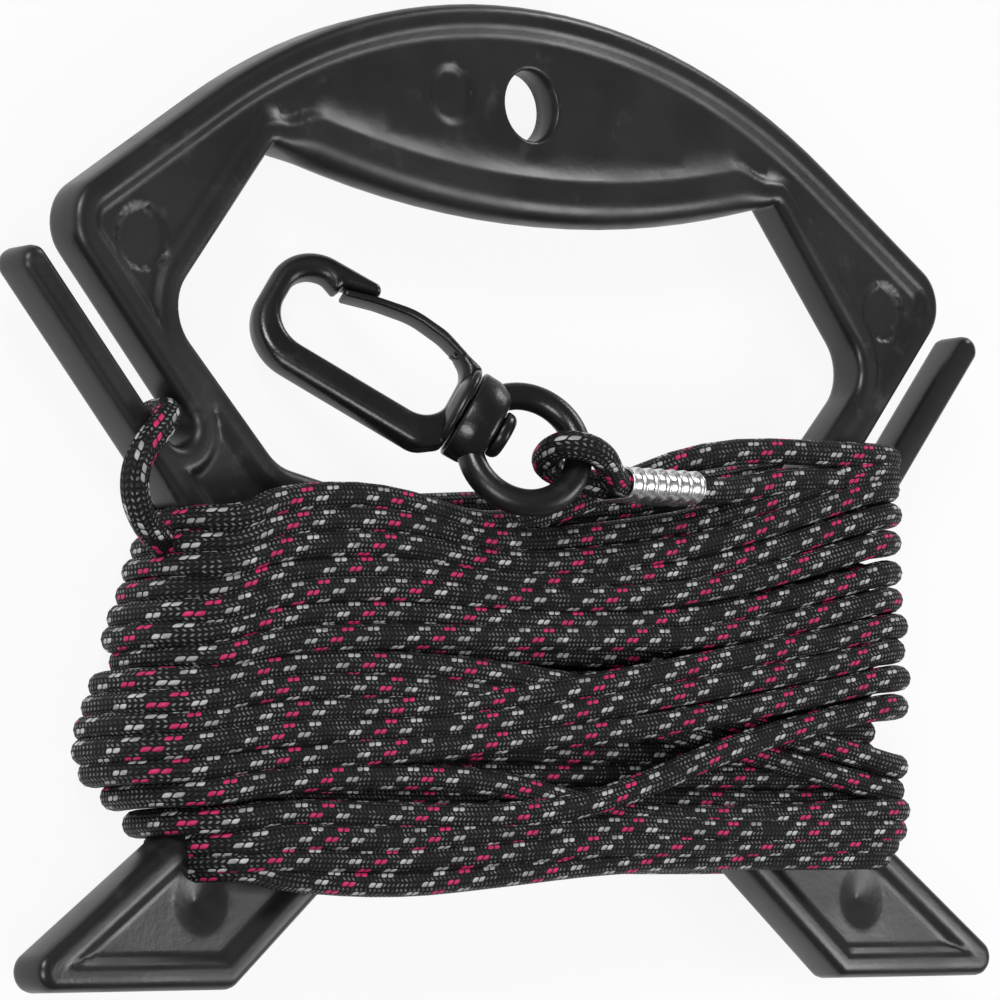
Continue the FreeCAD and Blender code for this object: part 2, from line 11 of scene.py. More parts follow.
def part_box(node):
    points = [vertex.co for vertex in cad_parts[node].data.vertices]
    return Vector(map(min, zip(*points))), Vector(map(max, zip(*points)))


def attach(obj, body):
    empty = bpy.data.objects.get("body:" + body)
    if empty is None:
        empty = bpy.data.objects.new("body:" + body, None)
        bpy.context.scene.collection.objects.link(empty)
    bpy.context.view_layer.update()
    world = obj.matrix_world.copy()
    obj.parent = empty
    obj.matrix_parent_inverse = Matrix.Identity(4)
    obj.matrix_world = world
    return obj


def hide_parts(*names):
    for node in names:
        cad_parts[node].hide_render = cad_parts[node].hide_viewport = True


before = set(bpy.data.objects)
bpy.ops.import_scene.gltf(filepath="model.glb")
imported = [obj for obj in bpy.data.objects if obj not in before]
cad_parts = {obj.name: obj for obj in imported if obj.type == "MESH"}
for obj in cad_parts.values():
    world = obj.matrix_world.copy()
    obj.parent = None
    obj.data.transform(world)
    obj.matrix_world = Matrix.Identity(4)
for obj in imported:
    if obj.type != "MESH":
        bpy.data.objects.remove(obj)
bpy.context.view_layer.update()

bl_info = {
    "name": "Kite line winder",
    "version": (1, 0, 0),
    "blender": (4, 5, 0),
    "location": "View3D > Sidebar > Winder",
    "description": "Dresses the packed kite line winder with braided cord, plastic and metal",
    "category": "Object",
}

MM = 0.001

# ---- the cord's routes, in millimetres
MIDDLE = 11.9  # height of the frame's middle plane
INNER_LEVEL = 6.0  # centre line of the first layer, from the middle plane
OUTER_LEVEL = 9.8  # centre line of the second layer
COLUMNS = (-60.0, -38.0, -16.0, 5.0, 30.0, 60.0)  # where the front of an outer turn is placed
# Where its back is placed, and how much of its way across the winder it has come there.
BACK_COLUMNS = ((36.0, 0.3), (0.0, 0.5), (-36.0, 0.7))

# Each outer turn: how far across the winder it lies at its left end, on the six columns of the
# front and at its right end; its reach to the left; and its lift on the columns.
OUTER_TURNS = (
    (-7.5, -4.3, -2.6, -7.0, -1.6, 8.0, 8.3, 8.4, -71.5, (0, -0.5, -2.8, -3.6, -0.8, 0.2)),
    (-11.1, -7.8, -6.2, -9.6, -7.4, -3.4, 5.0, 6.4, -72.5, (-0.6, -0.6, -1.2, -1.6, -0.8, 0)),
    (-14.4, -11.3, -9.8, -12.0, -11.0, -7.2, 1.2, 3.2, -74.5, (0, 0, 0, 0, 0, 0.6)),
    (-17.9, -14.6, -13.2, -14.6, -14.0, -11.0, -3.0, -0.8, -76.0, (-0.8, -0.7, -0.8, -0.8, -0.7, 0)),
    (-21.2, -18.0, -16.6, -17.4, -17.0, -14.8, -7.6, -5.4, -77.5, (0, 0, 0, 0, 0, 0.8)),
    (-24.3, -21.3, -20.0, -20.4, -20.0, -18.4, -12.2, -10.2, -78.6, (-0.8, -0.8, -0.8, -0.9, -0.9, 0)),
    (-27.6, -24.7, -23.4, -23.4, -23.0, -22.0, -16.6, -14.6, -77.0, (0, 0, 0, -0.2, -0.9, 0.4)),
    (-31.1, -28.2, -27.4, -28.6, -30.4, -33.8, -39.6, -41.4, -81.0,
     (-0.6, -0.3, -0.3, -0.8, -1.6, -0.2)),
    (-34.3, -31.6, -31.2, -32.4, -34.2, -37.6, -43.6, -45.2, -82.6, (0, -0.6, -0.4, -0.8, -1.8, -0.6)),
    (-37.4, -35.0, -34.2, -32.2, -29.6, -25.8, -20.6, -18.8, -83.6, (-0.5, 0, 0, 1.0, 1.6, 0.6)),
    (-40.6, -38.4, -37.4, -35.8, -33.2, -29.6, -24.6, -22.8, -84.2, (0.1, -0.4, 0.4, 1.4, 2.4, 0.9)),
    (-43.7, -41.8, -40.6, -39.0, -37.0, -33.6, -28.8, -27.2, -83.0, (-0.4, 0.1, 0.2, 1.2, 2.4, 1.1)),
    (-47.0, -45.2, -44.4, -45.0, -49.0, -50.2, -48.6, -48.4, -79.0, (0, -0.7, -0.8, -1.6, -0.6, -0.3)),
    (-50.9, -49.9, -50.4, -50.6, -47.6, -38.8, -33.2, -31.8, -75.2, (-0.6, -0.4, 0.3, 1.2, 2.4, 1.0)),
    (-54.2, -53.2, -53.4, -52.6, -51.4, -52.0, -51.6, -51.6, -71.6, (0, 0, -0.4, -0.6, 0, 0)),
    (-56.4, -56.2, -56.8, -55.4, -54.2, -54.2, -53.8, -53.8, -70.6, (-0.8, -0.7, -0.2, 0, -0.7, -0.7)),
    (-57.6, -58.8, -60.6, -58.6, -56.6, -56.1, -55.8, -55.8, -70.2,
     (-1.8, -1.2, -1.2, -1.2, -1.4, -1.4)),
)
RIGHT_REACH = (75.4, 75.2, 74.4, 75.3, 74.2, 75.0, 74.6, 75.4, 74.8, 75.6, 74.4, 75.2, 75.6, 74.6,
               74.4, 73.2, 71.8)
INNER_TURNS = 14
INNER_TOP, INNER_BOTTOM = -9.0, -56.0
INNER_REACH = 70.8
INNER_COLUMNS, INNER_BACK_COLUMNS = (-50.0, -20.0, 12.0, 45.0), (36.0, 0.0, -36.0)
INNER_RISES = (1.0, 1.6, 2.2)  # of a turn at its left end, on its front and at its right end
LEAD_TURN = (75.6, 5.6)  # reach and place of the turn that the lead comes from
END_STEP, END_BEND = 5.8, 0.16  # how far before an end a turn bends, and by what share
WANDER, INNER_WANDER, INNER_FRONT_WANDER = 0.3, 0.5, 0.6
LIFT_WANDER = (-0.3, 0.25)
MOST_UNDER = 0.5  # how far a turn may be raised underneath
BEFORE_LOOP = (-56.0, -13.0)  # the last place under the winder
DOWN = (0.0, -1.0, 0.0)  # the way across the winder that the braid is measured from
WINDING_STEPS, FREE_STEPS = 4, 8  # points of a cord for each control point
WINDING_SLIMMER = 0.00005  # metres taken off the radius of the wound cord
FREE_SIDES = 4  # facets that the free stretches have more

START_LOOP = ((-71.5, -12.0, 11.9), (-81.4, -9.0, 16.4), (-84.6, 0.0, 18.4), (-75.2, 8.6, 18.2),
              (-73.69, 7.61, 5.9), (-70.6, 0.0, 5.9), (-67.0, -16.0, 5.9))
LEAD = ((19.6, 0.4, 24.0), (27.0, 0.4, 24.0), (37.0, 1.6, 22.2), (47.0, 3.6, 22.1), (58.0, 3.9, 21.8))
EYE_LOOP = ((4.0, 0.4, 28.35), (2.2, 0.4, 28.35), (-5.36, 4.59, 33.37), (-11.38, 5.77, 30.29),
            (-7.55, 2.94, 21.72), (2.2, 0.4, 24.0), (4.0, 0.4, 24.0))

# ---- the moulded frame, in millimetres
HALF_THICKNESS = 3.7
EDGE_ROUND = 1.7
RIM_WIDTH, RIM_FOOT = 3.1, 5.4  # where the rim begins to fall, and where it meets the web
WEB_HALF = 2.6
GRIP_EXTRA = 3.7  # how far the grip's round stands out past its rim
GRIP_HALF_LENGTH = 51.1
GRIP_FADES, GRIP_FADED, GRIP_ENDS = -6.0, 2.0, 4.0  # from the end of that half length
GRIP_LEVEL = 34.0
DIMPLES = ((-69.6, -62.1), (69.6, -62.1))
DIMPLE_RADIUS, DIMPLE_DEPTH = 5.2, 1.3
DIMPLE_RINGS = (0.12, 0.4, 0.7, 0.95, 1.06)  # as shares of the radius
MARKS = ((-78.6, 33.1, 4.6), (78.6, 33.1, 4.6), (-16.9, 59.9, 4.2))
MARK_DEPTH = 0.4
MARK_RINGS, MARK_EDGE = (-1.2, -0.15, 0.25, 1.2), (-0.2, 0.3)  # from a mark's own radius
FRAME_STEP = 1.1  # greatest distance between points of an outline
HOLE_RINGS = (0.2, 0.4, 0.7, 1.2, 2.0)  # rings of points round the hanging hole
HOLE_CLEAR = 2.0  # the grip's round keeps so far below the hole
HOLE_DROP, HOLE_DROP_WIDTH = 0.25, 0.4  # how the hole's edge is rounded off
LEAST_HALF = 0.03
FRAME_GRAIN, HOOK_GRAIN = 900.0, 1500.0
FRAME_RINGS = (0.18, 0.55, 1.05, 1.6, 2.2, 2.8, 3.4, 4.0, 4.6, 5.2, 5.8, 6.6, 7.4, 8.4)

# ---- meshes
SEAM, CUT_SLACK = 1e-6, 1e-7  # metres within which points are welded, and lie on a cutting plane
SLIVER = 1e-5  # twice the area below which a triangle is no face
APART = 0.12  # least distance between points inside an outline
CROWDED = 0.15  # share of a step under which an outline drops a point
OFF_RING, OFF_RING_SHARE = 0.02, 0.01  # how far a point may stray from its distance to the edge
ROW = 0.87  # height of a row of the net, as a share of its width
RING_CLEAR = 0.3  # share of the net's width kept free beside the last ring
SHARP, STRAIGHT = 0.05, 0.02  # least radius, and least bend, that a corner is rounded for

# ---- the hook, in its own plane
# Its plane has the ring's centre for its origin and runs along the hook, across it and out of it.
HOOK_AT = (-12.8, 5.0, 24.3)
HOOK_ALONG = (-0.70322, 0.519096, -0.485821)
HOOK_ACROSS = (-0.593891, -0.804545, 0.0)
HOOK_OUT = (-0.390865, 0.288525, 0.874059)
HOOK_HALF, HOOK_ROUND = 2.3, 1.7
GATE_HALF, GATE_ROUND = 1.8, 0.55
HOOK_OUTLINE = (
    (11.1, 7.2, 1.2), (14.4, 10.0, 4.0), (46.0, 10.0, 8.5), (46.0, -10.6, 7.5), (30.3, -11.0, 1.2),
    (30.3, -9.2, 0.8), (35.7, -7.5, 0.3), (36.3, -5.9, 0.5), (38.6, -6.8, 1.2), (42.5, -6.4, 4.0),
    (42.5, 4.8, 5.5), (13.5, 4.8, 4.6), (13.5, -6.9, 3.4), (15.6, -7.1, 0.3), (15.6, -8.9, 0.6),
    (11.1, -7.6, 1.0),
)
GATE_OUTLINE = (
    (14.4, -7.2, 0.4), (14.4, -8.4, 0.4), (18.8, -9.95, 7.0), (24.4, -10.4, 12.0), (30.2, -9.0, 14.0),
    (35.3, -7.2, 0.4), (35.3, -6.0, 0.4), (30.0, -7.8, 14.0), (24.2, -9.1, 12.0), (19.0, -8.6, 7.0),
)
HOOK_RINGS = (0.08, 0.25, 0.5, 0.85, 1.25, 1.7)
GATE_RINGS = (0.08, 0.22, 0.4)
# Distance along the hook and radius: pin head, pin and the flare that the bar grows out of.
SPINDLE = ((2.9, 0.0, 0), (2.9, 3.7, 1.3), (4.9, 3.7, 0.3), (4.9, 2.6, 0.2), (11.1, 2.6, 0.2),
           (11.1, 7.2, 0.5), (12.4, 7.0, 1.0), (13.3, 3.4, 0.6), (13.3, 0.0, 0))
BARREL = ((5.2, 0.0, 0), (5.2, 6.2, 1.6), (8.0, 7.2, 2.0), (10.8, 7.3, 0.5), (10.8, 0.0, 0))
RING_RADIUS, RING_BAR = 8.7, 2.1
FLATNESS, FLAT_FROM = 0.82, 4.0  # turned shapes wider than this radius are pressed flat
AXIS = 1e-6  # radius under which a point lies on the axis
SPINDLE_SIDES, BARREL_SIDES = 40, 48
HOOK_STEP, HOOK_GRID = 0.5, 1.2
GATE_STEP, GATE_GRID = 0.4, 0.8
HOOK_SMOOTHER = 0.06  # how much less rough the hook is than the frame

# ---- the ferrule
FERRULE_SIDES = 48
FERRULE_LIP = 0.0003  # metres of plain metal at each end, before the crimps
FERRULE_WALL = 0.0005
FERRULE_BEVEL = 0.3  # share of the wall that is bevelled at each end
FERRULE_MOUTH = 0.0012  # depth of the mouth at each end
CRIMP_ROWS = 12  # steps along one crimp
CRIMP_SHARPNESS = 2.6  # how soon a crimp reaches its full depth
LEVEL = 1e-9  # metres within which a point of the oval section is level with its middle

# ---- the braid
BRAID_UPRIGHT = 0.33  # how far the flecks are turned towards the cord's width
PLAIN_STRANDS = 3.0  # in each pair of yarns; flecked pairs have one fewer
FLECK_EDGE, GLINT_EDGE = (0.12, 0.42), (0.62, 0.98)  # heights over which a fleck colour, and the painted highlight on the plain yarns' crests, come in
# How strong the painted highlight on each yarn's crest is, then how strongly each fleck colour shows,
# yarn by yarn.
GLINT_STRENGTH, GREY_WEAR, PINK_WEAR = (0.05, 1.0), (0.45, 1.0), (0.75, 1.0)
GLINT_SPREAD = (0.25, 0.95)  # of the yarns' own chances, for how bright the painted highlight on their crests is
YARN_PLUMPNESS = 0.6
BRAID_ROUGHNESS = (0.8, 0.38)  # in the grooves and on the crests

# ---- the finishes
BRAID_SPECULAR, PLASTIC_SPECULAR, FLOOR_ROUGHNESS = 0.28, 0.55, 0.9
# Strength of a bump, and its depth in metres.
BRAID_BUMP, PLASTIC_BUMP, METAL_BUMP = (0.8, 0.00025), (0.25, 0.00012), (0.15, 0.00003)
# Scale, detail and roughness of a noise. The scale of the skin is the grain of its piece.
CLOUD, RUB, STREAK = (55.0, 3.0, 0.55), (140.0, 4.0, 0.65), (2600.0, 3.0, 0.6)
SCUFF, SKIN = (700.0, 4.0, 0.6), (2.0, 0.6)
RUB_EDGE, CLOUD_EDGE, SCUFF_EDGE = (0.58, 0.74), (0.3, 0.7), (0.45, 0.75)
RUB_GAIN, RUB_LIFT, RUB_SHARE, RUB_ROUGHER = 2.2, 0.01, 0.5, 0.1  # how a rubbed place differs
CLOUD_SMOOTHER, CLOUD_ROUGHER, CLOUD_HEIGHT = 0.05, 0.08, 2.0
DRAWN = (0.12, 1.0, 1.0)  # scale of the streaks along and across the ferrule
SCUFFED, STREAK_ROUGHNESS = 0.72, (0.24, 0.4)

# ---- the stage, in metres
FLOOR_HALF = 3.0
FLOOR_WHITE = 0.9  # share of plain white in the floor, as the camera sees it
WORLD_LIGHT = 0.14  # how much the world lights, beside what the camera sees
MIDPOINT, RIGHT_FOOT = (0.0, 0.0, 0.01), (0.02, -0.06, 0.01)
# Each lamp: the setting of its power, its share of that, its place, its target and its size.
LAMPS = {
    "key_lamp": ("key", 1.0, (-0.75, 0.60, 0.80), MIDPOINT, (0.4, 0.3)),
    "fill_lamp": ("fill", 1.0, (-0.75, -0.30, 0.7), MIDPOINT, (0.35, 0.35)),
    "rim_lamp": ("fill", 0.55, (0.72, 0.66, 0.36), MIDPOINT, (0.25, 0.25)),
    "foot_lamp": ("fill", 0.3, (0.37, -0.16, 0.38), RIGHT_FOOT, (0.22, 0.22)),
}
SENSOR = 36.0  # millimetres
CAMERA_CLIPS = (0.01, 20.0)
CAMERA_AT = (-0.58333, -0.07664, 0.61959)
CAMERA_RIGHT = (0.72627, -0.02137, 0.68707)
CAMERA_UP = (-0.04605, 0.99576, 0.07965)
CAMERA_FORWARD = (0.68586, 0.08949, -0.72221)


# ---- settings
class WinderCordSettings(bpy.types.PropertyGroup):
    """Sizes and colours of the braided cord."""

    diameter: bpy.props.FloatProperty(
        name="Diameter", description="Thickness of the cord", default=0.0042, unit="LENGTH")
    sides: bpy.props.IntProperty(
        name="Sides", description="Facets round the cord", default=12, min=6)
    carriers: bpy.props.IntProperty(
        name="Carriers", description="Pairs of yarns that run each way round the braid", default=8)
    lead: bpy.props.FloatProperty(
        name="Lead", description="Length in which a yarn goes once round the cord",
        default=0.0203, unit="LENGTH")
    black: bpy.props.FloatVectorProperty(
        name="Ground colour", description="Colour of the plain yarns", subtype="COLOR",
        default=(0.004, 0.004, 0.0045))
    grey: bpy.props.FloatVectorProperty(
        name="Grey fleck", description="Colour of the light yarns", subtype="COLOR",
        default=(0.62, 0.63, 0.62))
    # Painted highlight: a lighter colour on the plain yarns' crests stands in for glints of light on
    # them.
    painted_glint: bpy.props.FloatVectorProperty(
        name="Painted yarn glint", description="Colour of the plain yarns where they stand highest",
        subtype="COLOR", default=(0.22, 0.22, 0.22))
    pink: bpy.props.FloatVectorProperty(
        name="Pink fleck", description="Colour of the bright yarns", subtype="COLOR",
        default=(0.68, 0.03, 0.16))
    seed: bpy.props.IntProperty(
        name="Seed", description="Fixes how unevenly the turns lie", default=7)


class WinderPlasticSettings(bpy.types.PropertyGroup):
    """Finish of the moulded plastic."""

    frame_colour: bpy.props.FloatVectorProperty(
        name="Frame colour", description="Plastic of the winder's frame", subtype="COLOR",
        default=(0.014, 0.014, 0.015))
    hook_colour: bpy.props.FloatVectorProperty(
        name="Hook colour", description="Plastic of the swivel hook", subtype="COLOR",
        default=(0.008, 0.008, 0.009))
    gloss: bpy.props.FloatProperty(
        name="Roughness", description="Mean roughness of the moulded skin", default=0.34,
        subtype="FACTOR")


class WinderMetalSettings(bpy.types.PropertyGroup):
    """Shape and finish of the ferrule."""

    crimps: bpy.props.IntProperty(
        name="Crimps", description="Dents that the crimping tool left", default=6)
    dent: bpy.props.FloatProperty(
        name="Dent", description="Depth of each crimp", default=0.00045, unit="LENGTH")
    colour: bpy.props.FloatVectorProperty(
        name="Metal colour", description="Bright aluminium", subtype="COLOR",
        default=(0.86, 0.86, 0.85))


class WinderStageSettings(bpy.types.PropertyGroup):
    """Floor, lamps and camera."""

    lens: bpy.props.FloatProperty(
        name="Lens", description="Focal length in millimetres", default=198.41)
    key: bpy.props.FloatProperty(
        name="Key lamp", description="Power of the large soft lamp", default=7.0, unit="POWER")
    fill: bpy.props.FloatProperty(
        name="Fill lamp", description="Power of the second soft lamp", default=3.5, unit="POWER")
    floor: bpy.props.FloatVectorProperty(
        name="Floor colour", description="Pale studio floor", subtype="COLOR",
        default=(0.86, 0.86, 0.86))


# ---- material nodes
class Nodes:
    """Short words for building a node tree: values or sockets go in, sockets come out."""

    def __init__(self, tree):
        self.tree = tree

    def plug(self, socket, value):
        if isinstance(value, bpy.types.NodeSocket):
            self.tree.links.new(value, socket)
        else:
            socket.default_value = value

    def add(self, kind, inputs=(), **settings):
        node = self.tree.nodes.new(kind)
        for name, value in settings.items():
            setattr(node, name, value)
        for key, value in dict(inputs).items():
            self.plug(node.inputs[key], value)
        return node

    def math(self, operation, *values):
        return self.add("ShaderNodeMath", enumerate(values), operation=operation).outputs[0]

    def ramp(self, value, low, high, to_low=0.0, to_high=1.0, soft=True):
        node = self.add("ShaderNodeMapRange", {0: value, 1: low, 2: high, 3: to_low, 4: to_high},
                        interpolation_type="SMOOTHSTEP" if soft else "LINEAR")
        return node.outputs[0]

    def mix(self, factor, first, second):
        node = self.add("ShaderNodeMix", {0: factor, 6: first, 7: second}, data_type="RGBA")
        return node.outputs[2]

    def noise(self, place, scale, detail, roughness):
        node = self.add("ShaderNodeTexNoise", {"Vector": place, "Scale": scale, "Detail": detail,
                                               "Roughness": roughness})
        return node.outputs["Fac"]

    def bump(self, shader, strength, distance, height):
        node = self.add("ShaderNodeBump", {"Strength": strength, "Distance": distance,
                                           "Height": height})
        self.plug(shader.inputs["Normal"], node.outputs[0])


def opaque(colour):
    """A colour with its alpha."""
    return (*colour, 1.0)


def new_material(name, preview):
    """A material, the nodes of its tree and its shader."""
    material = bpy.data.materials.new(name)
    material.use_nodes = True
    material.diffuse_color = opaque(preview)
    shader = material.node_tree.nodes["Principled BSDF"]
    return material, Nodes(material.node_tree), shader


def braid_material(settings):
    """A braid seen as columns along the cord, which show by turns the yarns that lean one way and
    the yarns that lean the other. Grey and pink yarns run among those of the first kind."""
    material, n, shader = new_material("braided_cord", settings.black)
    along = n.add("ShaderNodeAttribute", attribute_name="along").outputs["Fac"]
    around = n.add("ShaderNodeAttribute", attribute_name="around").outputs["Vector"]
    parts = n.add("ShaderNodeSeparateXYZ", {0: around}).outputs
    turn = n.math("DIVIDE", n.math("ARCTAN2", parts[1], parts[0]), math.tau)
    carriers = float(settings.carriers)
    advance = n.math("MULTIPLY", along, carriers / settings.lead)
    twist = n.math("MULTIPLY", turn, carriers)
    left = n.math("ADD", advance, twist)
    right = n.math("SUBTRACT", advance, twist)
    place = n.math("FLOORED_MODULO", n.math("SUBTRACT", left, right), 2.0)
    on_top = n.math("LESS_THAN", place, 1.0)
    run = n.math("FRACT", place)
    upright = n.math("MULTIPLY", n.math("SUBTRACT", run, 0.5), BRAID_UPRIGHT)
    leans_left = n.math("MULTIPLY", n.math("SUBTRACT", left, upright), on_top)
    leans_right = n.math("MULTIPLY", n.math("ADD", right, upright), n.math("SUBTRACT", 1.0, on_top))
    yarn = n.math("ADD", leans_left, leans_right)
    number = n.math("FLOORED_MODULO", n.math("FLOOR", yarn), carriers)
    is_pink = n.math("MULTIPLY", on_top, n.math("COMPARE", number, 0.0, 0.5))
    pair = n.math("COMPARE", n.math("FLOORED_MODULO", number, 4.0), 2.0, 0.5)
    is_grey = n.math("MULTIPLY", on_top, pair)
    strands = n.math("SUBTRACT", PLAIN_STRANDS, n.math("MAXIMUM", is_pink, is_grey))
    strand = n.math("FRACT", n.math("MULTIPLY", yarn, strands))
    across = n.math("SINE", n.math("MULTIPLY", strand, math.pi))
    length = n.math("POWER", n.math("SINE", n.math("MULTIPLY", run, math.pi)), YARN_PLUMPNESS)
    height = n.math("MULTIPLY", across, length)
    fleck = n.ramp(height, *FLECK_EDGE)
    cell = n.add("ShaderNodeCombineXYZ", {0: n.math("FLOOR", left), 1: n.math("FLOOR", right)})
    each = n.add("ShaderNodeTexWhiteNoise", {"Vector": cell.outputs[0]},
                 noise_dimensions="3D").outputs["Value"]

    # Painted highlight: the plain yarns' crests are coloured lighter, as glints of light on them, more
    # on some yarns than on others.
    glint_mask = n.math("MULTIPLY", n.ramp(height, *GLINT_EDGE), n.ramp(each, *GLINT_SPREAD, *GLINT_STRENGTH))
    colour = n.mix(glint_mask, opaque(settings.black), opaque(settings.painted_glint))
    for chosen, wear, tint in ((is_grey, GREY_WEAR, settings.grey),
                               (is_pink, PINK_WEAR, settings.pink)):
        shown = n.math("MULTIPLY", n.math("MULTIPLY", chosen, fleck),
                       n.ramp(each, 0.0, 1.0, *wear, soft=False))
        colour = n.mix(shown, colour, opaque(tint))
    n.plug(shader.inputs["Base Color"], colour)
    n.plug(shader.inputs["Roughness"], n.ramp(height, 0.0, 1.0, *BRAID_ROUGHNESS))
    shader.inputs["Specular IOR Level"].default_value = BRAID_SPECULAR
    n.bump(shader, *BRAID_BUMP, height)
    return material


def plastic_material(name, colour, roughness, grain):
    """Moulded plastic: a fine skin, cloudy gloss and a few rubbed places."""
    material, n, shader = new_material(name, colour)
    place = n.add("ShaderNodeTexCoord").outputs["Object"]
    cloud = n.noise(place, *CLOUD)
    skin = n.noise(place, grain, *SKIN)
    rub = n.ramp(n.noise(place, *RUB), *RUB_EDGE)
    rubbed = opaque([c * RUB_GAIN + RUB_LIFT for c in colour])
    n.plug(shader.inputs["Base Color"],
           n.mix(n.math("MULTIPLY", rub, RUB_SHARE), opaque(colour), rubbed))
    smooth = n.ramp(cloud, *CLOUD_EDGE, roughness - CLOUD_SMOOTHER, roughness + CLOUD_ROUGHER)
    n.plug(shader.inputs["Roughness"], n.math("ADD", smooth, n.math("MULTIPLY", rub, RUB_ROUGHER)))
    shader.inputs["Specular IOR Level"].default_value = PLASTIC_SPECULAR
    n.bump(shader, *PLASTIC_BUMP, n.math("ADD", skin, n.math("MULTIPLY", cloud, CLOUD_HEIGHT)))
    return material


def metal_material(settings):
    """Soft aluminium, drawn lengthways and scuffed by the crimping tool."""
    material, n, shader = new_material("ferrule_metal", settings.colour)
    place = n.add("ShaderNodeTexCoord").outputs["Object"]
    drawn = n.add("ShaderNodeMapping", {0: place, 3: DRAWN}).outputs[0]
    streak = n.noise(drawn, *STREAK)
    scuff = n.noise(place, *SCUFF)
    scuffed = opaque([c * SCUFFED for c in settings.colour])
    n.plug(shader.inputs["Base Color"],
           n.mix(n.ramp(scuff, *SCUFF_EDGE), opaque(settings.colour), scuffed))
    shader.inputs["Metallic"].default_value = 1.0
    n.plug(shader.inputs["Roughness"], n.ramp(streak, *CLOUD_EDGE, *STREAK_ROUGHNESS))
    n.bump(shader, *METAL_BUMP, n.math("ADD", streak, scuff))
    return material


# ---- meshes
def new_mesh(name, vertices, faces):
    """A mesh of these vertices and faces."""
    mesh = bpy.data.meshes.new(name)
    mesh.from_pydata(vertices, [], faces)
    return mesh


def tube_faces(rings, sides):
    """The quads of a skin through rings that have as many points each."""
    faces = []
    for i in range(rings - 1):
        here, there = i * sides, (i + 1) * sides
        for j in range(sides):
            k = (j + 1) % sides
            faces.append((here + j, here + k, there + k, there + j))
    return faces


def linked(name, data):
    """An object of this data, in the scene."""
    thing = bpy.data.objects.new(name, data)
    bpy.context.scene.collection.objects.link(thing)
    return thing


def new_piece(name, mesh, material, body, node):
    """A finished piece at the origin that rides on a body and replaces a CAD node."""
    piece = linked(name, mesh)
    mesh.materials.clear()
    mesh.materials.append(material)
    for polygon in mesh.polygons:
        polygon.use_smooth = True
    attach(piece, body)
    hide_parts(node)
    return piece


def spline_points(points, steps):
    """Points read from the smooth spline that has these control points, in millimetres."""
    curve = bpy.data.curves.new("route", "CURVE")
    curve.dimensions = "3D"
    curve.resolution_u = steps
    spline = curve.splines.new("NURBS")
    spline.points.add(len(points) - 1)
    for spot, point in zip(spline.points, points):
        spot.co = (point[0] * MM, point[1] * MM, point[2] * MM, 1.0)
    spline.order_u = 3
    spline.use_endpoint_u = True
    holder = linked("route", curve)
    depsgraph = bpy.context.evaluated_depsgraph_get()
    mesh = bpy.data.meshes.new_from_object(holder.evaluated_get(depsgraph))
    line = np.array([vertex.co for vertex in mesh.vertices])
    bpy.data.objects.remove(holder)
    bpy.data.curves.remove(curve)
    bpy.data.meshes.remove(mesh)
    kept = [0] + [i for i in range(1, len(line)) if np.linalg.norm(line[i] - line[i - 1]) > SEAM]
    return line[kept]


def unit(rows):
    """Each row with its length made 1."""
    return rows / np.maximum(np.linalg.norm(rows, axis=-1, keepdims=True), 1e-12)


def cord_directions(line, axis):
    """Two directions across the cord at each point: one of them near the axis, if it is given, or
    else with as little twist as can be."""
    tangent = unit(np.gradient(line, axis=0))
    if axis is not None:
        side = unit(np.array(axis) - tangent * (tangent @ np.array(axis))[:, None])
        return np.cross(side, tangent), side
    normal = np.zeros_like(line)
    start = np.cross(tangent[0], DOWN)
    normal[0] = -unit(start) if start[2] < 0 else unit(start)
    for i in range(1, len(line)):
        carried = normal[i - 1] - tangent[i] * float(normal[i - 1] @ tangent[i])
        normal[i] = carried / np.linalg.norm(carried)
    return normal, np.cross(tangent, normal)


def cord_mesh(name, line, radius, sides, begins_at=0.0, axis=None):
    """A closed tube round a line, with the distance along it and the direction round it stored."""
    normal, side = cord_directions(line, axis)
    angles = np.arange(sides) * math.tau / sides
    cosines, sines = np.cos(angles), np.sin(angles)
    rings = (line[:, None, :] + radius * (normal[:, None, :] * cosines[None, :, None]
                                          + side[:, None, :] * sines[None, :, None]))
    steps = np.linalg.norm(np.diff(line, axis=0), axis=1)
    distance = begins_at + np.concatenate([[0.0], np.cumsum(steps)])
    count = len(line)
    vertices = np.vstack([rings.reshape(-1, 3), line[:1], line[-1:]])
    faces = tube_faces(count, sides)
    first, last = count * sides, count * sides + 1
    for j in range(sides):
        k = (j + 1) % sides
        faces.append((first, k, j))
        faces.append((last, (count - 1) * sides + j, (count - 1) * sides + k))
    mesh = new_mesh(name, vertices.tolist(), faces)
    along = np.concatenate([np.repeat(distance, sides), distance[[0, -1]]])
    around = np.zeros((len(vertices), 3))
    around[:count * sides, 0] = np.tile(cosines, count)
    around[:count * sides, 1] = np.tile(sines, count)
    mesh.attributes.new("along", "FLOAT", "POINT").data.foreach_set("value", along.astype(np.float32))
    mesh.attributes.new("around", "FLOAT_VECTOR", "POINT").data.foreach_set(
        "vector", around.astype(np.float32).ravel())
    mesh.update()
    return mesh


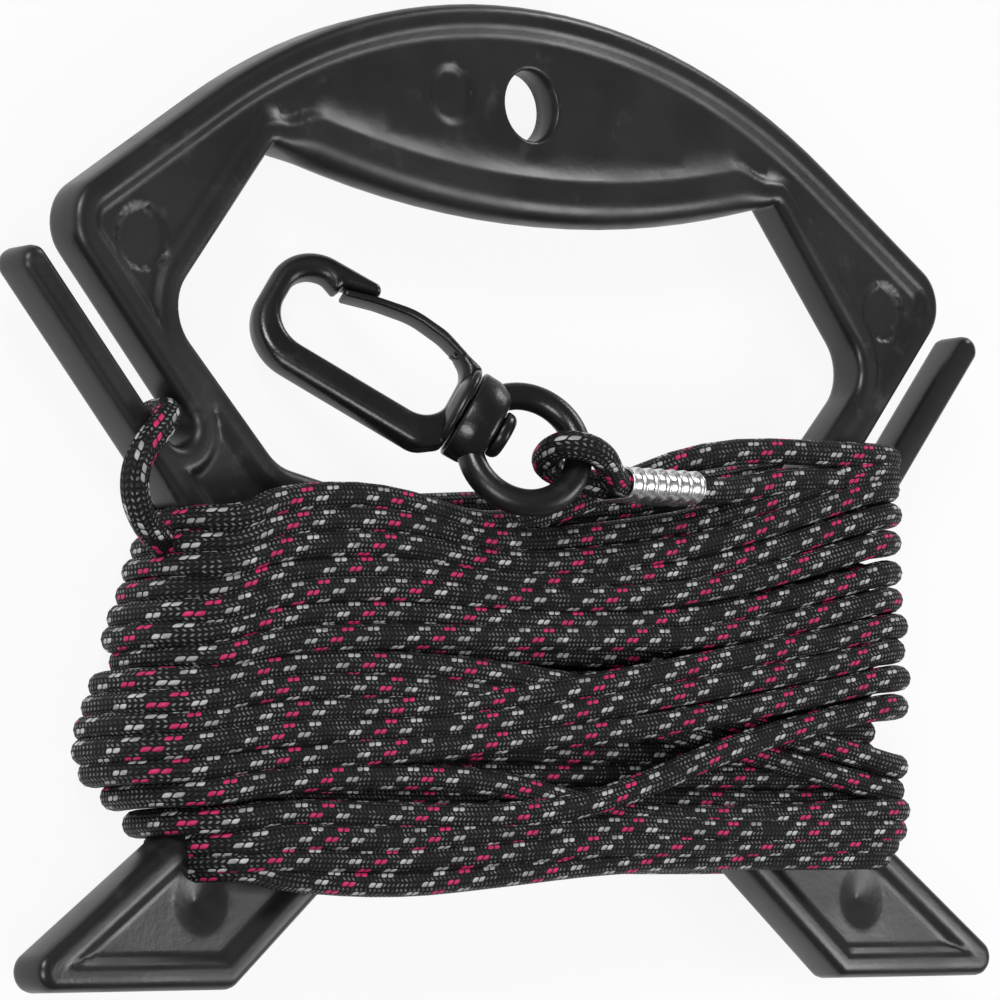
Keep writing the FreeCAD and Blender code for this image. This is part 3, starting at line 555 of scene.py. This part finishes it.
def section_loops(node, height):
    """The closed outlines, in millimetres, where a level plane cuts a CAD node."""
    solid = bmesh.new()
    solid.from_mesh(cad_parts[node].data)
    bmesh.ops.remove_doubles(solid, verts=solid.verts, dist=SEAM)
    everything = solid.verts[:] + solid.edges[:] + solid.faces[:]
    cut = bmesh.ops.bisect_plane(solid, geom=everything, dist=CUT_SLACK, plane_co=(0, 0, height),
                                 plane_no=(0, 0, 1), clear_inner=True, clear_outer=True)
    edges = [e for e in cut["geom_cut"] if isinstance(e, bmesh.types.BMEdge)]
    neighbours = {}
    for edge in edges:
        a, b = edge.verts
        neighbours.setdefault(a, []).append(b)
        neighbours.setdefault(b, []).append(a)
    loops, seen = [], set()
    for start in neighbours:
        if start in seen:
            continue
        loop, here = [], start
        while here is not None:
            seen.add(here)
            loop.append((here.co.x / MM, here.co.y / MM))
            here = next((v for v in neighbours[here] if v not in seen), None)
        loops.append(np.array(loop))
    solid.free()
    return sorted(loops, key=lambda loop: -np.ptp(loop[:, 0]))


def rounded(corners, step=0.35):
    """A closed outline with each corner (x, y, radius) rounded."""
    points = []
    count = len(corners)
    for i, (x, y, radius) in enumerate(corners):
        here = np.array((x, y))
        back = unit(np.array(corners[i - 1][:2]) - here)
        onward = unit(np.array(corners[(i + 1) % count][:2]) - here)
        half = math.acos(max(-1.0, min(1.0, float(back @ onward)))) / 2
        if radius < SHARP or half > math.pi / 2 - STRAIGHT:
            points.append(here)
            continue
        reach = radius / math.tan(half)
        centre = here + unit(back + onward) * (radius / math.sin(half))
        first, last = here + back * reach - centre, here + onward * reach - centre
        sweep = math.atan2(first[0] * last[1] - first[1] * last[0], float(first @ last))
        parts = max(2, int(abs(sweep) * radius / step))
        for k in range(parts + 1):
            angle = sweep * k / parts
            cosine, sine = math.cos(angle), math.sin(angle)
            points.append(centre + np.array(((cosine, -sine), (sine, cosine))) @ first)
    return np.array(points)


def evened(loop, step):
    """The same closed outline with points no further apart than the step, and its inward normals."""
    points = []
    for a, b in zip(loop, np.roll(loop, -1, axis=0)):
        parts = max(1, int(math.ceil(np.linalg.norm(b - a) / step)))
        points += [a + (b - a) * k / parts for k in range(parts)]
    points = np.array(points)
    keep = np.linalg.norm(points - np.roll(points, 1, axis=0), axis=1) > step * CROWDED
    points = points[keep]
    direction = unit(np.roll(points, -1, axis=0) - np.roll(points, 1, axis=0))
    return points, np.column_stack([-direction[:, 1], direction[:, 0]])


def signed_area(loop):
    """The area of a closed outline, positive if it runs anticlockwise."""
    x, y = loop[:, 0], loop[:, 1]
    return 0.5 * float(np.sum(x * np.roll(y, -1) - np.roll(x, -1) * y))


def inside(points, loop):
    """Which points lie inside a closed outline."""
    result = np.zeros(len(points), bool)
    for (x0, y0), (x1, y1) in zip(loop, np.roll(loop, -1, axis=0)):
        crosses = (points[:, 1] < y0) != (points[:, 1] < y1)
        if y0 != y1:
            at = x0 + (points[:, 1] - y0) * (x1 - x0) / (y1 - y0)
            result ^= crosses & (points[:, 0] < at)
    return result


def within(points, lines):
    """Which points lie inside the first outline and outside the others."""
    keep = inside(points, lines[0])
    for line in lines[1:]:
        keep &= ~inside(points, line)
    return keep


def distance_to(points, loops):
    """Distance from each point to the nearest outline, and the nearest place on it."""
    best = np.full(len(points), 1e9)
    place = np.zeros_like(points)
    for loop in loops:
        for a, b in zip(loop, np.roll(loop, -1, axis=0)):
            edge = b - a
            share = np.clip(((points - a) @ edge) / max(float(edge @ edge), 1e-12), 0.0, 1.0)
            spot = a + share[:, None] * edge
            gap = np.linalg.norm(points - spot, axis=1)
            nearer = gap < best
            best[nearer] = gap[nearer]
            place[nearer] = spot[nearer]
    return best, place


def plate_mesh(name, loops, holes, rings, step, half, middle=0.0, marks=None, extra=(), grid=4.0):
    """A moulded plate: a net of triangles inside the outlines, raised in front and behind by its
    distance from the nearest outline. The first outline is the outer one. Marks sink the front."""
    outlines = []
    for number, loop in enumerate([*loops, *holes]):
        turned = loop if (signed_area(loop) > 0) == (number == 0) else loop[::-1]
        outlines.append(evened(turned, step))
    lines = [line for line, _ in outlines]
    solid_lines = lines[:len(loops)]
    edges, points = [], []
    for line in lines:
        start = len(points)
        points += list(line)
        edges += [(start + i, start + (i + 1) % len(line)) for i in range(len(line))]
    border = len(points)
    for line, normal in outlines[:len(loops)]:
        for gap in rings:
            moved = line + normal * gap
            true_gap, _ = distance_to(moved, solid_lines)
            points += list(moved[np.abs(true_gap - gap) < OFF_RING + OFF_RING_SHARE * gap])
    low, high = loops[0].min(axis=0), loops[0].max(axis=0)
    mesh_x, mesh_y = np.meshgrid(np.arange(low[0], high[0], grid),
                                 np.arange(low[1], high[1], grid * ROW))
    mesh_x[::2] += grid / 2
    field = np.column_stack([mesh_x.ravel(), mesh_y.ravel()])
    far, _ = distance_to(field, solid_lines)
    points += list(field[far > rings[-1] + grid * RING_CLEAR])
    points = np.array([*points, *extra])
    _, first = np.unique(np.round(points[border:] / APART), axis=0, return_index=True)
    points = np.vstack([points[:border], points[border:][np.sort(first)]])
    keep = within(points, lines)
    keep[:border] = True
    coords, _, faces, *_ = delaunay_2d_cdt([Vector(p) for p in points[keep]], edges, [], 0, SLIVER)
    flat = np.array([tuple(c) for c in coords])
    triangles = np.array(faces)
    triangles = triangles[within(flat[triangles].mean(axis=1), lines)]
    first = flat[triangles[:, 1]] - flat[triangles[:, 0]]
    second = flat[triangles[:, 2]] - flat[triangles[:, 0]]
    area = first[:, 0] * second[:, 1] - first[:, 1] * second[:, 0]
    triangles, area = triangles[np.abs(area) > SLIVER], area[np.abs(area) > SLIVER]
    triangles[area < 0] = triangles[area < 0][:, ::-1]
    thickness = half(flat, *distance_to(flat, solid_lines))
    top = middle + thickness - (marks(flat) if marks else 0.0)
    vertices = np.vstack([np.column_stack([flat, top]), np.column_stack([flat, middle - thickness])])
    count = len(flat)
    used = dict.fromkeys(pair for a, b, c in triangles.tolist() for pair in ((a, b), (b, c), (c, a)))
    walls = [(b, a, a + count, b + count) for a, b in used if (b, a) not in used]
    faces = triangles.tolist() + (triangles[:, ::-1] + count).tolist() + walls
    return new_mesh(name, vertices.tolist(), faces)


def rounded_height(half, bend):
    """Half the thickness of a bar whose edges are rounded, by the distance from its outline."""
    def height(flat, gap, place):
        inner = np.clip(bend - gap, 0.0, bend)
        return half - bend + np.sqrt(np.maximum(bend ** 2 - inner ** 2, 0.0))
    return height


def lathe_mesh(name, profile, sides):
    """A turned shape along x, from distances and radii, its wide parts pressed flat in z."""
    line = rounded(profile)[::-1]
    body = [point for point in line if point[1] > AXIS]
    vertices = []
    for x, radius in body:
        flat = FLATNESS if radius > FLAT_FROM else 1.0
        vertices += [(x, radius * math.cos(math.tau * j / sides),
                      flat * radius * math.sin(math.tau * j / sides)) for j in range(sides)]
    faces = tube_faces(len(body), sides)
    for start, end, turn in ((0, line[0], -1), ((len(body) - 1) * sides, line[-1], 1)):
        tip = len(vertices)
        vertices.append((end[0], 0.0, 0.0))
        faces += [(tip, start + j, start + (j + 1) % sides)[::turn] for j in range(sides)]
    return new_mesh(name, vertices, faces)


def ring_mesh(name, radius, bar, around=96, across=24):
    """A round bar bent into a ring in the plane z = 0."""
    vertices, faces = [], []
    for i in range(around):
        turn = math.tau * i / around
        here, there = i * across, (i + 1) % around * across
        for j in range(across):
            lean = math.tau * j / across
            reach = radius + bar * math.cos(lean)
            vertices.append((reach * math.cos(turn), reach * math.sin(turn), bar * math.sin(lean)))
            k = (j + 1) % across
            faces.append((here + j, there + j, there + k, here + k))
    return new_mesh(name, vertices, faces)


def repeated(name, mesh, count, spacing, material):
    """Copies of a mesh in a row along x, laid out by a Geometry Nodes tree, as one plain mesh."""
    tree = bpy.data.node_groups.new(name, "GeometryNodeTree")
    given_as = {}
    for label, kind in (("Geometry", "NodeSocketGeometry"), ("Count", "NodeSocketInt"),
                        ("Spacing", "NodeSocketFloat"), ("Material", "NodeSocketMaterial")):
        socket = tree.interface.new_socket(name=label, in_out="INPUT", socket_type=kind)
        given_as[label] = socket.identifier
    tree.interface.new_socket(name="Geometry", in_out="OUTPUT", socket_type="NodeSocketGeometry")
    given, offset, line, copies, real, painted, result = (tree.nodes.new(kind) for kind in (
        "NodeGroupInput", "ShaderNodeCombineXYZ", "GeometryNodeMeshLine",
        "GeometryNodeInstanceOnPoints", "GeometryNodeRealizeInstances", "GeometryNodeSetMaterial",
        "NodeGroupOutput"))
    for source, output, target, taken in (
            (given, "Spacing", offset, "X"), (given, "Count", line, "Count"),
            (offset, "Vector", line, "Offset"), (line, "Mesh", copies, "Points"),
            (given, "Geometry", copies, "Instance"), (copies, "Instances", real, "Geometry"),
            (real, "Geometry", painted, "Geometry"), (given, "Material", painted, "Material"),
            (painted, "Geometry", result, "Geometry")):
        tree.links.new(source.outputs[output], target.inputs[taken])
    holder = linked(name, mesh)
    modifier = holder.modifiers.new(name, "NODES")
    modifier.node_group = tree
    for label, value in (("Count", count), ("Spacing", spacing), ("Material", material)):
        modifier[given_as[label]] = value
    graph = bpy.context.evaluated_depsgraph_get()
    plain = bpy.data.meshes.new_from_object(holder.evaluated_get(graph))
    holder.modifiers.remove(modifier)
    bpy.data.objects.remove(holder)
    if len(plain.vertices) != count * len(mesh.vertices):
        raise RuntimeError(f"{name}: the row has {len(plain.vertices)} vertices")
    return plain


def joined(name, meshes, seam=0.0):
    """One mesh of several, welded where they meet if asked, with every shell facing outwards."""
    solid = bmesh.new()
    for mesh in meshes:
        solid.from_mesh(mesh)
    if seam:
        bmesh.ops.remove_doubles(solid, verts=solid.verts, dist=seam)
    bmesh.ops.recalc_face_normals(solid, faces=solid.faces)
    result = bpy.data.meshes.new(name)
    solid.to_mesh(result)
    solid.free()
    return result


def smooth_step(value, low, high):
    """How far a value has come from low to high, eased at both ends."""
    share = np.clip((value - low) / (high - low), 0.0, 1.0)
    return share * share * (3 - 2 * share)


def disc_points(x, y, radii, count=28):
    """Rings of points round a spot, so that a mark there has a clean edge."""
    angles = np.arange(count) * math.tau / count
    return [(x, y)] + [(x + radius * math.cos(angle), y + radius * math.sin(angle))
                       for radius in radii for angle in angles]


def line_length(line):
    """The length of a line of points."""
    return float(np.linalg.norm(np.diff(line, axis=0), axis=1).sum())


def end_points(reach, y, front, back):
    """The four control points with which a turn goes round an end of the winder."""
    inward = reach - math.copysign(END_STEP, reach)
    depth = (front - back) * END_BEND
    return [(inward, y, front), (reach, y, front - depth), (reach, y, back + depth), (inward, y, back)]


def winding_route(seed):
    """One continuous cord: the outer turns from top to bottom, then the first layer upwards."""
    chance = random.Random(seed)
    front, back = MIDDLE + OUTER_LEVEL, MIDDLE - OUTER_LEVEL
    points = [LEAD[-1], *end_points(*LEAD_TURN, front, back)]
    for (left, *columns, right, far_left, lifts), reach in zip(OUTER_TURNS, RIGHT_REACH):
        under = back + chance.uniform(0.0, MOST_UNDER)
        before = points[-1][1]
        points += [(x, before + (left - before) * share, under) for x, share in BACK_COLUMNS]
        far_left += chance.uniform(-WANDER, WANDER)
        points += reversed(end_points(far_left, left, front + lifts[0], under))
        points += [(x, y + chance.uniform(-WANDER, WANDER), front + lift + chance.uniform(*LIFT_WANDER))
                   for x, y, lift in zip(COLUMNS, columns, lifts)]
        points += end_points(reach, right, front + lifts[-1], under)
    front, back = MIDDLE + INNER_LEVEL, MIDDLE - INNER_LEVEL
    left_rise, front_rise, right_rise = INNER_RISES
    for i in range(INNER_TURNS):
        y = INNER_BOTTOM + (INNER_TOP - INNER_BOTTOM) * i / (INNER_TURNS - 1)
        points += [(x, y + chance.uniform(-INNER_WANDER, INNER_WANDER), back)
                   for x in INNER_BACK_COLUMNS]
        if i == INNER_TURNS - 1:
            break
        points += reversed(end_points(-INNER_REACH, y + left_rise, front, back))
        points += [(x, y + front_rise + chance.uniform(-INNER_FRONT_WANDER, INNER_FRONT_WANDER), front)
                   for x in INNER_COLUMNS]
        points += end_points(INNER_REACH, y + right_rise, front, back)
    return [*points, (*BEFORE_LOOP, back), START_LOOP[-1]]


# ---- operators
class WINDER_OT_stage(bpy.types.Operator):
    """Makes the floor, the lamps and the camera."""

    bl_idname = "winder.stage"
    bl_label = "Make stage"

    def execute(self, context):
        settings = context.scene.winder_stage
        scene = context.scene
        scene.view_settings.view_transform = "Standard"

        camera_data = bpy.data.cameras.new("camera")
        camera_data.lens = settings.lens
        camera_data.sensor_width = SENSOR
        camera_data.clip_start, camera_data.clip_end = CAMERA_CLIPS
        camera = linked("camera", camera_data)
        turned = Matrix((CAMERA_RIGHT, CAMERA_UP, [-c for c in CAMERA_FORWARD])).transposed()
        camera.matrix_world = Matrix.Translation(CAMERA_AT) @ turned.to_4x4()
        scene.camera = camera

        half = FLOOR_HALF
        corners = [(-half, -half, 0), (half, -half, 0), (half, half, 0), (-half, half, 0)]
        mesh = new_mesh("floor", corners, [(0, 1, 2, 3)])
        floor = linked("floor", mesh)
        mesh.materials.append(self.floor_material(settings.floor))

        for name, (setting, share, place, target, size) in LAMPS.items():
            self.lamp(name, place, target, size, getattr(settings, setting) * share)
        self.world(scene)
        return {"FINISHED"}

    def floor_material(self, colour):
        """A pale floor that takes shadows and looks white to the camera."""
        material, n, shader = new_material("floor", colour)
        shader.inputs["Base Color"].default_value = opaque(colour)
        shader.inputs["Roughness"].default_value = FLOOR_ROUGHNESS
        path = n.add("ShaderNodeLightPath").outputs
        seen = n.math("MAXIMUM", path["Is Camera Ray"],
                      n.math("MAXIMUM", path["Is Glossy Ray"], path["Is Transmission Ray"]))
        white = n.add("ShaderNodeEmission", {"Color": (1, 1, 1, 1), "Strength": 1.0}).outputs[0]
        both = n.add("ShaderNodeMixShader", {0: n.math("MULTIPLY", seen, FLOOR_WHITE),
                                             1: shader.outputs[0], 2: white})
        n.plug(material.node_tree.nodes["Material Output"].inputs["Surface"], both.outputs[0])
        return material

    def lamp(self, name, place, target, size, power):
        """A soft lamp that points at its target."""
        data = bpy.data.lights.new(name, "AREA")
        data.shape = "RECTANGLE"
        data.size, data.size_y = size
        data.energy = power
        turned = (Vector(target) - Vector(place)).to_track_quat("-Z", "Y").to_matrix().to_4x4()
        linked(name, data).matrix_world = Matrix.Translation(place) @ turned

    def world(self, scene):
        """A white world that lights the object only a little."""
        world = bpy.data.worlds.new("studio")
        scene.world = world
        world.use_nodes = True
        n = Nodes(world.node_tree)
        background = world.node_tree.nodes["Background"]
        path = n.add("ShaderNodeLightPath").outputs
        seen = n.math("MAXIMUM", path["Is Camera Ray"], path["Is Transmission Ray"])
        n.plug(background.inputs["Color"], (1, 1, 1, 1))
        n.plug(background.inputs["Strength"], n.ramp(seen, 0.0, 1.0, WORLD_LIGHT, 1.0, soft=False))


class WINDER_OT_winding(bpy.types.Operator):
    """Winds the cord round the waist of the frame in two layers."""

    bl_idname = "winder.winding"
    bl_label = "Wind the cord"

    def execute(self, context):
        settings = context.scene.winder_cord
        lead = line_length(spline_points(LEAD, FREE_STEPS))
        line = spline_points(winding_route(settings.seed), WINDING_STEPS)
        mesh = cord_mesh("cord_winding", line, settings.diameter / 2 - WINDING_SLIMMER, settings.sides,
                         begins_at=lead, axis=DOWN)
        new_piece("cord_winding", mesh, cord_finish(context), "winder",
                  "rope_winding")
        return {"FINISHED"}


class WINDER_OT_free_cords(bpy.types.Operator):
    """Makes the start loop, the lead and the loop through the swivel's ring."""

    bl_idname = "winder.free_cords"
    bl_label = "Make the free stretches"

    def execute(self, context):
        settings = context.scene.winder_cord
        for name, node, route in (("cord_start_loop", "rope_start_loop", START_LOOP),
                                  ("cord_lead", "rope_lead", LEAD),
                                  ("cord_eye_loop", "rope_eye", EYE_LOOP)):
            line = spline_points(route, FREE_STEPS)
            mesh = cord_mesh(name, line, settings.diameter / 2, settings.sides + FREE_SIDES)
            piece = new_piece(name, mesh, cord_finish(context), "winder", node)
        return {"FINISHED"}


class WINDER_OT_ferrule(bpy.types.Operator):
    """Makes the crimped ferrule that holds the loop shut."""

    bl_idname = "winder.ferrule"
    bl_label = "Make the ferrule"

    def execute(self, context):
        settings = context.scene.winder_metal
        low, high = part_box("crimp_ferrule")
        centre, half = (low + high) / 2, (high - low) / 2
        material = metal_material(settings)
        start = FERRULE_LIP - half.x
        pitch = -2.0 * start / settings.crimps
        crimp = []
        for i in range(CRIMP_ROWS + 1):
            swing = math.sin(math.pi * i / CRIMP_ROWS) ** 2
            dent = settings.dent * min(1.0, CRIMP_SHARPNESS * swing)
            crimp.append((start + pitch * i / CRIMP_ROWS, 0.0, dent))
        mouth = [(start, 0.0, 0.0), (-half.x, FERRULE_WALL * FERRULE_BEVEL, 0.0),
                 (-half.x, FERRULE_WALL, 0.0), (FERRULE_MOUTH - half.x, FERRULE_WALL, 0.0)]
        far_mouth = [(-along, inset, dent) for along, inset, dent in mouth]
        shells = [self.skin(centre, half, crimp, False), self.skin(centre, half, mouth, True),
                  self.skin(centre, half, far_mouth, True)]
        row = repeated("ferrule_crimps", shells[0], settings.crimps, pitch, material)
        mesh = joined("ferrule", [row] + shells[1:], SEAM)
        new_piece("ferrule", mesh, material, "winder", "crimp_ferrule")
        return {"FINISHED"}

    def skin(self, centre, half, rings, closed):
        """A tube through rings of the ferrule's section, closed at its last ring if asked."""
        vertices = [self.rim_point(centre, half, *ring, j / FERRULE_SIDES)
                    for ring in rings for j in range(FERRULE_SIDES)]
        faces = tube_faces(len(rings), FERRULE_SIDES)
        if closed:
            last = (len(rings) - 1) * FERRULE_SIDES
            faces.append(range(last, last + FERRULE_SIDES))
        return new_mesh("ferrule_skin", vertices, faces)

    def rim_point(self, centre, half, along, inset, dent, share):
        """A point of the ferrule's oval section, which a crimp presses in from every side."""
        angle = math.tau * share
        radius = half.y - inset
        y, z = radius * math.cos(angle), radius * math.sin(angle)
        z += math.copysign(half.z - half.y, z) if abs(z) > LEVEL else 0.0
        return (centre.x + along, centre.y + y * (1.0 - dent / half.y),
                centre.z + z * (1.0 - dent / half.z))


class WINDER_OT_frame(bpy.types.Operator):
    """Moulds the frame: a rounded rim along every edge and a thin web between."""

    bl_idname = "winder.frame"
    bl_label = "Mould the frame"

    def execute(self, context):
        loops = section_loops("winder_frame", MIDDLE * MM)
        outer, window, hole = loops[0], loops[1], loops[2]
        radius = np.ptp(hole[:, 0]) / 2
        centre = (hole.max(axis=0) + hole.min(axis=0)) / 2
        edge, _ = evened(hole if signed_area(hole) < 0 else hole[::-1], FRAME_STEP)
        extra = [centre + (spot - centre) * (1 + gap / radius)
                 for gap in HOLE_RINGS for spot in edge]
        for x, y in DIMPLES:
            extra += disc_points(x, y, [DIMPLE_RADIUS * share for share in DIMPLE_RINGS])
        for x, y, reach in MARKS:
            extra += disc_points(x, y, [reach + gap for gap in MARK_RINGS])
        mesh = plate_mesh("frame_moulding", [outer, window], [hole], FRAME_RINGS, FRAME_STEP,
                          lambda *spots: self.relief(*spots, centre, radius), middle=MIDDLE,
                          marks=self.marks, extra=extra)
        mesh.transform(Matrix.Scale(MM, 4))
        settings = context.scene.winder_plastic
        skin = plastic_material("frame_skin", settings.frame_colour, settings.gloss, FRAME_GRAIN)
        new_piece("frame_moulding", mesh, skin, "winder", "winder_frame")
        return {"FINISHED"}

    def relief(self, flat, gap, place, hole_at, hole_reach):
        """Half the frame's thickness at each spot."""
        near_grip = (np.abs(place[:, 0]) < GRIP_HALF_LENGTH + GRIP_ENDS) & (place[:, 1] > GRIP_LEVEL)
        near_grip &= place[:, 1] < hole_at[1] - hole_reach - HOLE_CLEAR
        ends = 1 - smooth_step(np.abs(place[:, 0]), GRIP_HALF_LENGTH + GRIP_FADES,
                               GRIP_HALF_LENGTH + GRIP_FADED)
        grip = np.where(near_grip, ends, 0.0)
        bend = EDGE_ROUND + (HALF_THICKNESS - EDGE_ROUND) * grip
        height = rounded_height(HALF_THICKNESS, bend)(flat, gap, place)
        sink = smooth_step(gap - GRIP_EXTRA * grip, RIM_WIDTH, RIM_FOOT)
        height -= (HALF_THICKNESS - WEB_HALF) * sink
        hole_gap = np.linalg.norm(flat - hole_at, axis=1) - hole_reach
        drop = HOLE_DROP * (1 - smooth_step(hole_gap, 0.0, HOLE_DROP_WIDTH))
        return np.maximum(height - drop, LEAST_HALF)

    def marks(self, flat):
        """Depth of the cones in the feet and of the flat discs above."""
        depth = np.zeros(len(flat))
        for x, y in DIMPLES:
            away = np.hypot(flat[:, 0] - x, flat[:, 1] - y)
            depth = np.maximum(depth, DIMPLE_DEPTH * np.clip(1 - away / DIMPLE_RADIUS, 0.0, 1.0))
        for x, y, reach in MARKS:
            away = np.hypot(flat[:, 0] - x, flat[:, 1] - y)
            flank = smooth_step(away, reach + MARK_EDGE[0], reach + MARK_EDGE[1])
            depth = np.maximum(depth, MARK_DEPTH * (1 - flank))
        return depth


class WINDER_OT_plastic(bpy.types.Operator):
    """Moulds the swivel, the hook and its gate."""

    bl_idname = "winder.plastic"
    bl_label = "Mould the swivel hook"

    def execute(self, context):
        settings = context.scene.winder_plastic
        skin = plastic_material("hook_plastic", settings.hook_colour, settings.gloss - HOOK_SMOOTHER,
                                HOOK_GRAIN)
        bar = plate_mesh("hook_bar", [rounded(HOOK_OUTLINE)], [], HOOK_RINGS, HOOK_STEP,
                         rounded_height(HOOK_HALF, HOOK_ROUND), grid=HOOK_GRID)
        tongue = plate_mesh("tongue", [rounded(GATE_OUTLINE)], [], GATE_RINGS, GATE_STEP,
                            rounded_height(GATE_HALF, GATE_ROUND), grid=GATE_GRID)
        spindle = lathe_mesh("spindle", SPINDLE, SPINDLE_SIDES)
        barrel = lathe_mesh("barrel", BARREL, BARREL_SIDES)
        ring = ring_mesh("ring", RING_RADIUS, RING_BAR)
        axes = Matrix((HOOK_ALONG, HOOK_ACROSS, HOOK_OUT)).transposed().to_4x4()
        place = Matrix.Scale(MM, 4) @ Matrix.Translation(HOOK_AT) @ axes
        for name, parts, node, body in (("swivel_moulding", [ring, barrel], "swivel_eye", "eye"),
                                        ("hook_moulding", [bar, spindle], "snap_hook", "hook"),
                                        ("gate_moulding", [tongue], "snap_gate", "gate")):
            mesh = joined(name, parts)
            mesh.transform(place)
            new_piece(name, mesh, skin, body, node)
        return {"FINISHED"}


def cord_finish(context):
    """The braid's material, made once."""
    made = bpy.data.materials.get("braided_cord_finish")
    if made is None:
        made = braid_material(context.scene.winder_cord)
        made.name = "braided_cord_finish"
    return made


class WINDER_PT_panel(bpy.types.Panel):
    """Lists the winder's settings and the steps that build it."""

    bl_idname = "WINDER_PT_panel"
    bl_label = "Winder"
    bl_space_type = "VIEW_3D"
    bl_region_type = "UI"
    bl_category = "Winder"

    def draw(self, context):
        for group in (context.scene.winder_cord, context.scene.winder_plastic,
                      context.scene.winder_metal, context.scene.winder_stage):
            box = self.layout.box()
            for name in group.bl_rna.properties.keys():
                if name not in ("rna_type", "name"):
                    box.prop(group, name)
        for operator in OPERATORS:
            self.layout.operator(operator.bl_idname)


SETTINGS = {"winder_cord": WinderCordSettings, "winder_plastic": WinderPlasticSettings,
            "winder_metal": WinderMetalSettings, "winder_stage": WinderStageSettings}
OPERATORS = (WINDER_OT_stage, WINDER_OT_frame, WINDER_OT_winding, WINDER_OT_free_cords,
             WINDER_OT_ferrule, WINDER_OT_plastic)


def register():
    """Makes the classes and their settings known."""
    for group in (*SETTINGS.values(), *OPERATORS, WINDER_PT_panel):
        bpy.utils.register_class(group)
    for name, group in SETTINGS.items():
        setattr(bpy.types.Scene, name, bpy.props.PointerProperty(type=group))


def unregister():
    """Takes the settings and the classes away again."""
    for name in SETTINGS:
        delattr(bpy.types.Scene, name)
    for group in reversed((*SETTINGS.values(), *OPERATORS, WINDER_PT_panel)):
        bpy.utils.unregister_class(group)


def main():
    """Builds the stage and every piece."""
    register()
    bpy.ops.winder.stage()
    bpy.ops.winder.frame()
    bpy.ops.winder.winding()
    bpy.ops.winder.free_cords()
    bpy.ops.winder.ferrule()
    bpy.ops.winder.plastic()


if __name__ == "__main__":
    main()
